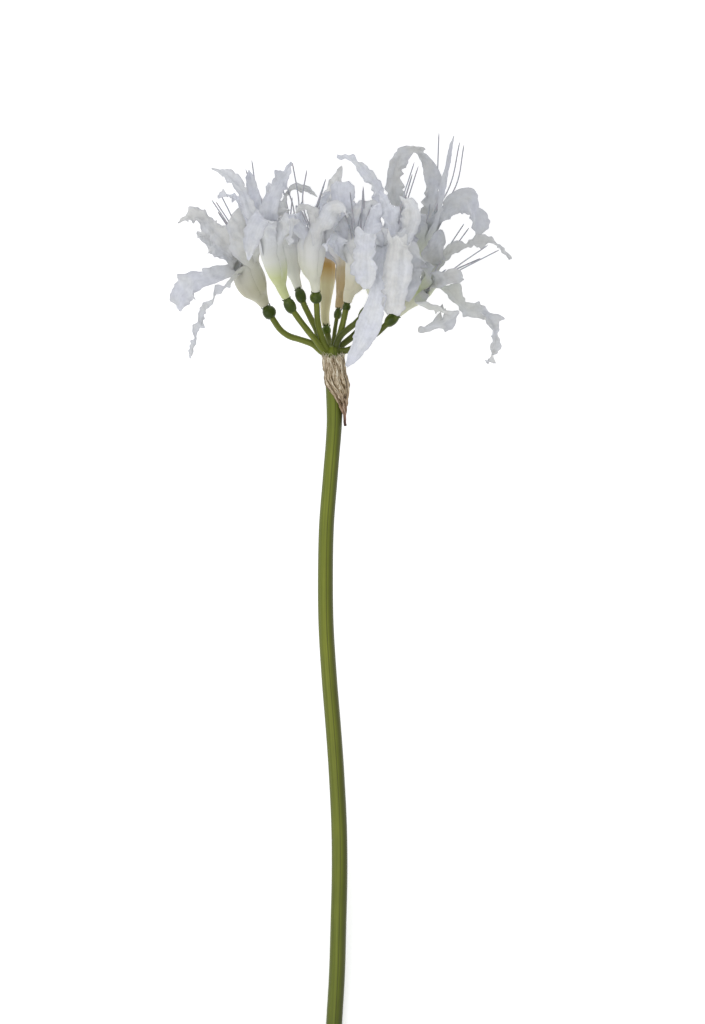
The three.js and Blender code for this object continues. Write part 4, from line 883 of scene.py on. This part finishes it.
# -------- the spathe
def valve(name, length, left, right, lean, flare, seed, look, fibre_look, fibres):
    """A papery valve that hangs from the umbel's foot along the scape. left and right are its edges' angles
    from the upper side, lean and flare say how far it stands off, in mm."""
    rows, cols = 72, 46
    start, gap, thick = 4.3, 0.80, 0.22  # mm along the scape, off it, and of paper
    rnd = random.Random(int(seed * 10))
    v = np.linspace(0, 1, rows + 1)
    s = (start + v * length) / SCAPE.length
    p, t = SCAPE.frames(s, (1, 0, 0))[:2]
    x = units(np.array([1.0, 0, 0]) - t[:, :1] * t)
    z = units(np.cross(x, t))
    z *= np.where(z[:, 2] < 0, -1, 1)[:, None]
    # j is across and V down, from 0 to 1.
    j, V = np.linspace(0, 1, cols + 1), v[:, None]
    ragged = lambda q: 1.6 * np.sin(31 * V + q) + 1.1 * np.sin(57 * V + 2 * q) + 0.8 * np.sin(93 * V + q * q)
    a0 = lookup(left, v)[:, None] + ragged(seed) * smooth(0.05, 0.3, V)
    a1 = lookup(right, v)[:, None] + ragged(seed + 3) * smooth(0.05, 0.3, V)
    angle = np.radians(a0 + (a1 - a0) * j)
    crease = 0.28 * (1 + np.sin(seed + 10.5 * j + 15.3 * V)) * smooth(0, 0.25, V)
    pleat = (0.16 * np.sin(34 * j + 6 * V + seed) + 0.10 * np.sin(71 * j - 9 * V)
             + 0.10 * np.sin(23 * V + 17 * j + seed))
    fold = flare * smooth(0.2, 0.45, V) * smooth(0.75, 0.5, V) * smooth(0.5, 1, j)
    edge = (0.35 * (np.sin(19 * V + seed) + 0.6 * np.sin(47 * V)) * (smooth(0.86, 1, j) + smooth(0.14, 0, j))
            * smooth(0.1, 0.3, V))
    r = (lookup(SCAPE_R, s)[:, None] + gap + crease + lean * smooth(0.35, 1, V) + fold
         + (pleat + edge) * smooth(0, 0.12, V))
    n = x[:, None] * np.sin(angle)[..., None] + z[:, None] * np.cos(angle)[..., None]
    middle = p[:, None] + n * r[..., None]
    # The upper rim is torn: it runs up and down by most of a millimetre.
    torn = (0.5 * np.sin(29 * j + seed) + 0.45 * np.sin(53 * j) + 0.4 * np.sin(97 * j + 1)) * smooth(0.10, 0, V)
    middle = middle - t[:, None] * torn[..., None]
    shape = Shape()
    grids = (middle + n * thick / 2, middle - n * thick / 2, marked(j * 2 - 1, V, seed))
    shape.sheet(*(grid[:, ::-1] for grid in grids), ((0, 0.1, 0.48, 1), (0.5, 0.1, 0.98, 1)), 0)
    for q in range(fibres):
        c = int(rnd.uniform(0.02, 0.98) * cols)
        foot, out, down = middle[2, c], n[2, c], t[2]
        sideways = np.cross(out, down)
        tall, lean_by = rnd.uniform(0.8, 3.2), rnd.uniform(-2.4, 2.4)
        tip = foot - down * tall + out * rnd.uniform(-0.1, 0.9) + sideways * lean_by
        mid = (foot + tip) / 2 + out * rnd.uniform(0.0, 0.5) + sideways * rnd.uniform(-0.4, 0.4)
        bar(shape, Path([foot, mid, tip]), lambda share: 0.11 * (1 - 0.75 * share), 5, 9,
            (q / fibres, 0.01, (q + 0.8) / fibres, 0.08), 1, seed=rnd.random())
    made = shape.build(name, [look, fibre_look])
    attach(made, "root")
    return made


# -------- building
thread = filament_look()
for name in BLOOMS:
    bloom(name, petal_look(name), thread)
green_body(stem_look(), stalk_look(), ovary_look())
paper, fibre = paper_look(), fibre_look()
front = valve("spathe_front_paper", 35,
              [[0, -84], [0.2, -74], [0.35, -62], [0.45, -44], [0.55, -10], [0.7, 22], [0.85, 48], [1, 66]],
              [[0, 84], [0.3, 92], [0.5, 100], [0.7, 90], [0.85, 80], [1, 72]], 0.8, 2.2, 0.4, paper, fibre, 90)
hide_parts("spathe_front")
back = valve("spathe_back_paper", 23, [[0, 102], [0.3, 116], [0.6, 146], [0.85, 172], [1, 186]],
             [[0, 258], [0.3, 250], [0.6, 232], [0.85, 208], [1, 192]], 0.6, 0, 2.2, paper, fibre, 40)
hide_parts("spathe_back")

# -------- floor, light and camera
scene = bpy.context.scene
floor_mesh = bpy.data.meshes.new("floor")
floor_mesh.from_pydata([(-20, -20, 0), (20, -20, 0), (20, 20, 0), (-20, 20, 0)], [], [(0, 1, 2, 3)])
card = Look("floor_card", Roughness=0.9, Specular_IOR_Level=0.1, Emission_Color=(1, 1, 1, 1), Emission_Strength=0.44)
pale = card.ramp(card.noise(card.objects(), 3), [(0.3, (0.93, 0.935, 0.945)), (0.7, (0.95, 0.95, 0.955))])
floor_mesh.materials.append(card.finish(pale))
put("floor", floor_mesh)

scene.world = bpy.data.worlds.new("studio")
scene.world.use_nodes = True
sky = scene.world.node_tree.nodes["Background"]
sky.inputs["Color"].default_value = (0.97, 0.98, 1.0, 1)
sky.inputs["Strength"].default_value = 0.69

sun = bpy.data.lights.new("key", "SUN")
sun.energy, sun.angle, sun.color = 0.62, math.radians(60), (1.0, 0.99, 0.97)
key = put("key", sun)
key.rotation_mode = "QUATERNION"
key.rotation_quaternion = Vector((0.50, 0.25, -1.0)).to_track_quat("-Z", "Y")
scene.view_settings.view_transform = "Standard"
scene.view_settings.look = "None"

LENS, SENSOR = 500, 36  # mm
LEVEL = 0.045  # m, height above the floor that is seen at the drawing's scale
camera_data = bpy.data.cameras.new("camera")
camera_data.lens, camera_data.sensor_width, camera_data.clip_end = LENS, SENSOR, 100
camera = put("camera", camera_data)
middle = (at((VIEW[0] / 2, VIEW[1] / 2, 0)) + SHIFT) / 1000
camera.location = (middle[0], middle[1], LEVEL + VIEW[1] * GRID / 1000 * LENS / SENSOR)
camera.rotation_euler = (0, 0, 0)
scene.camera = camera
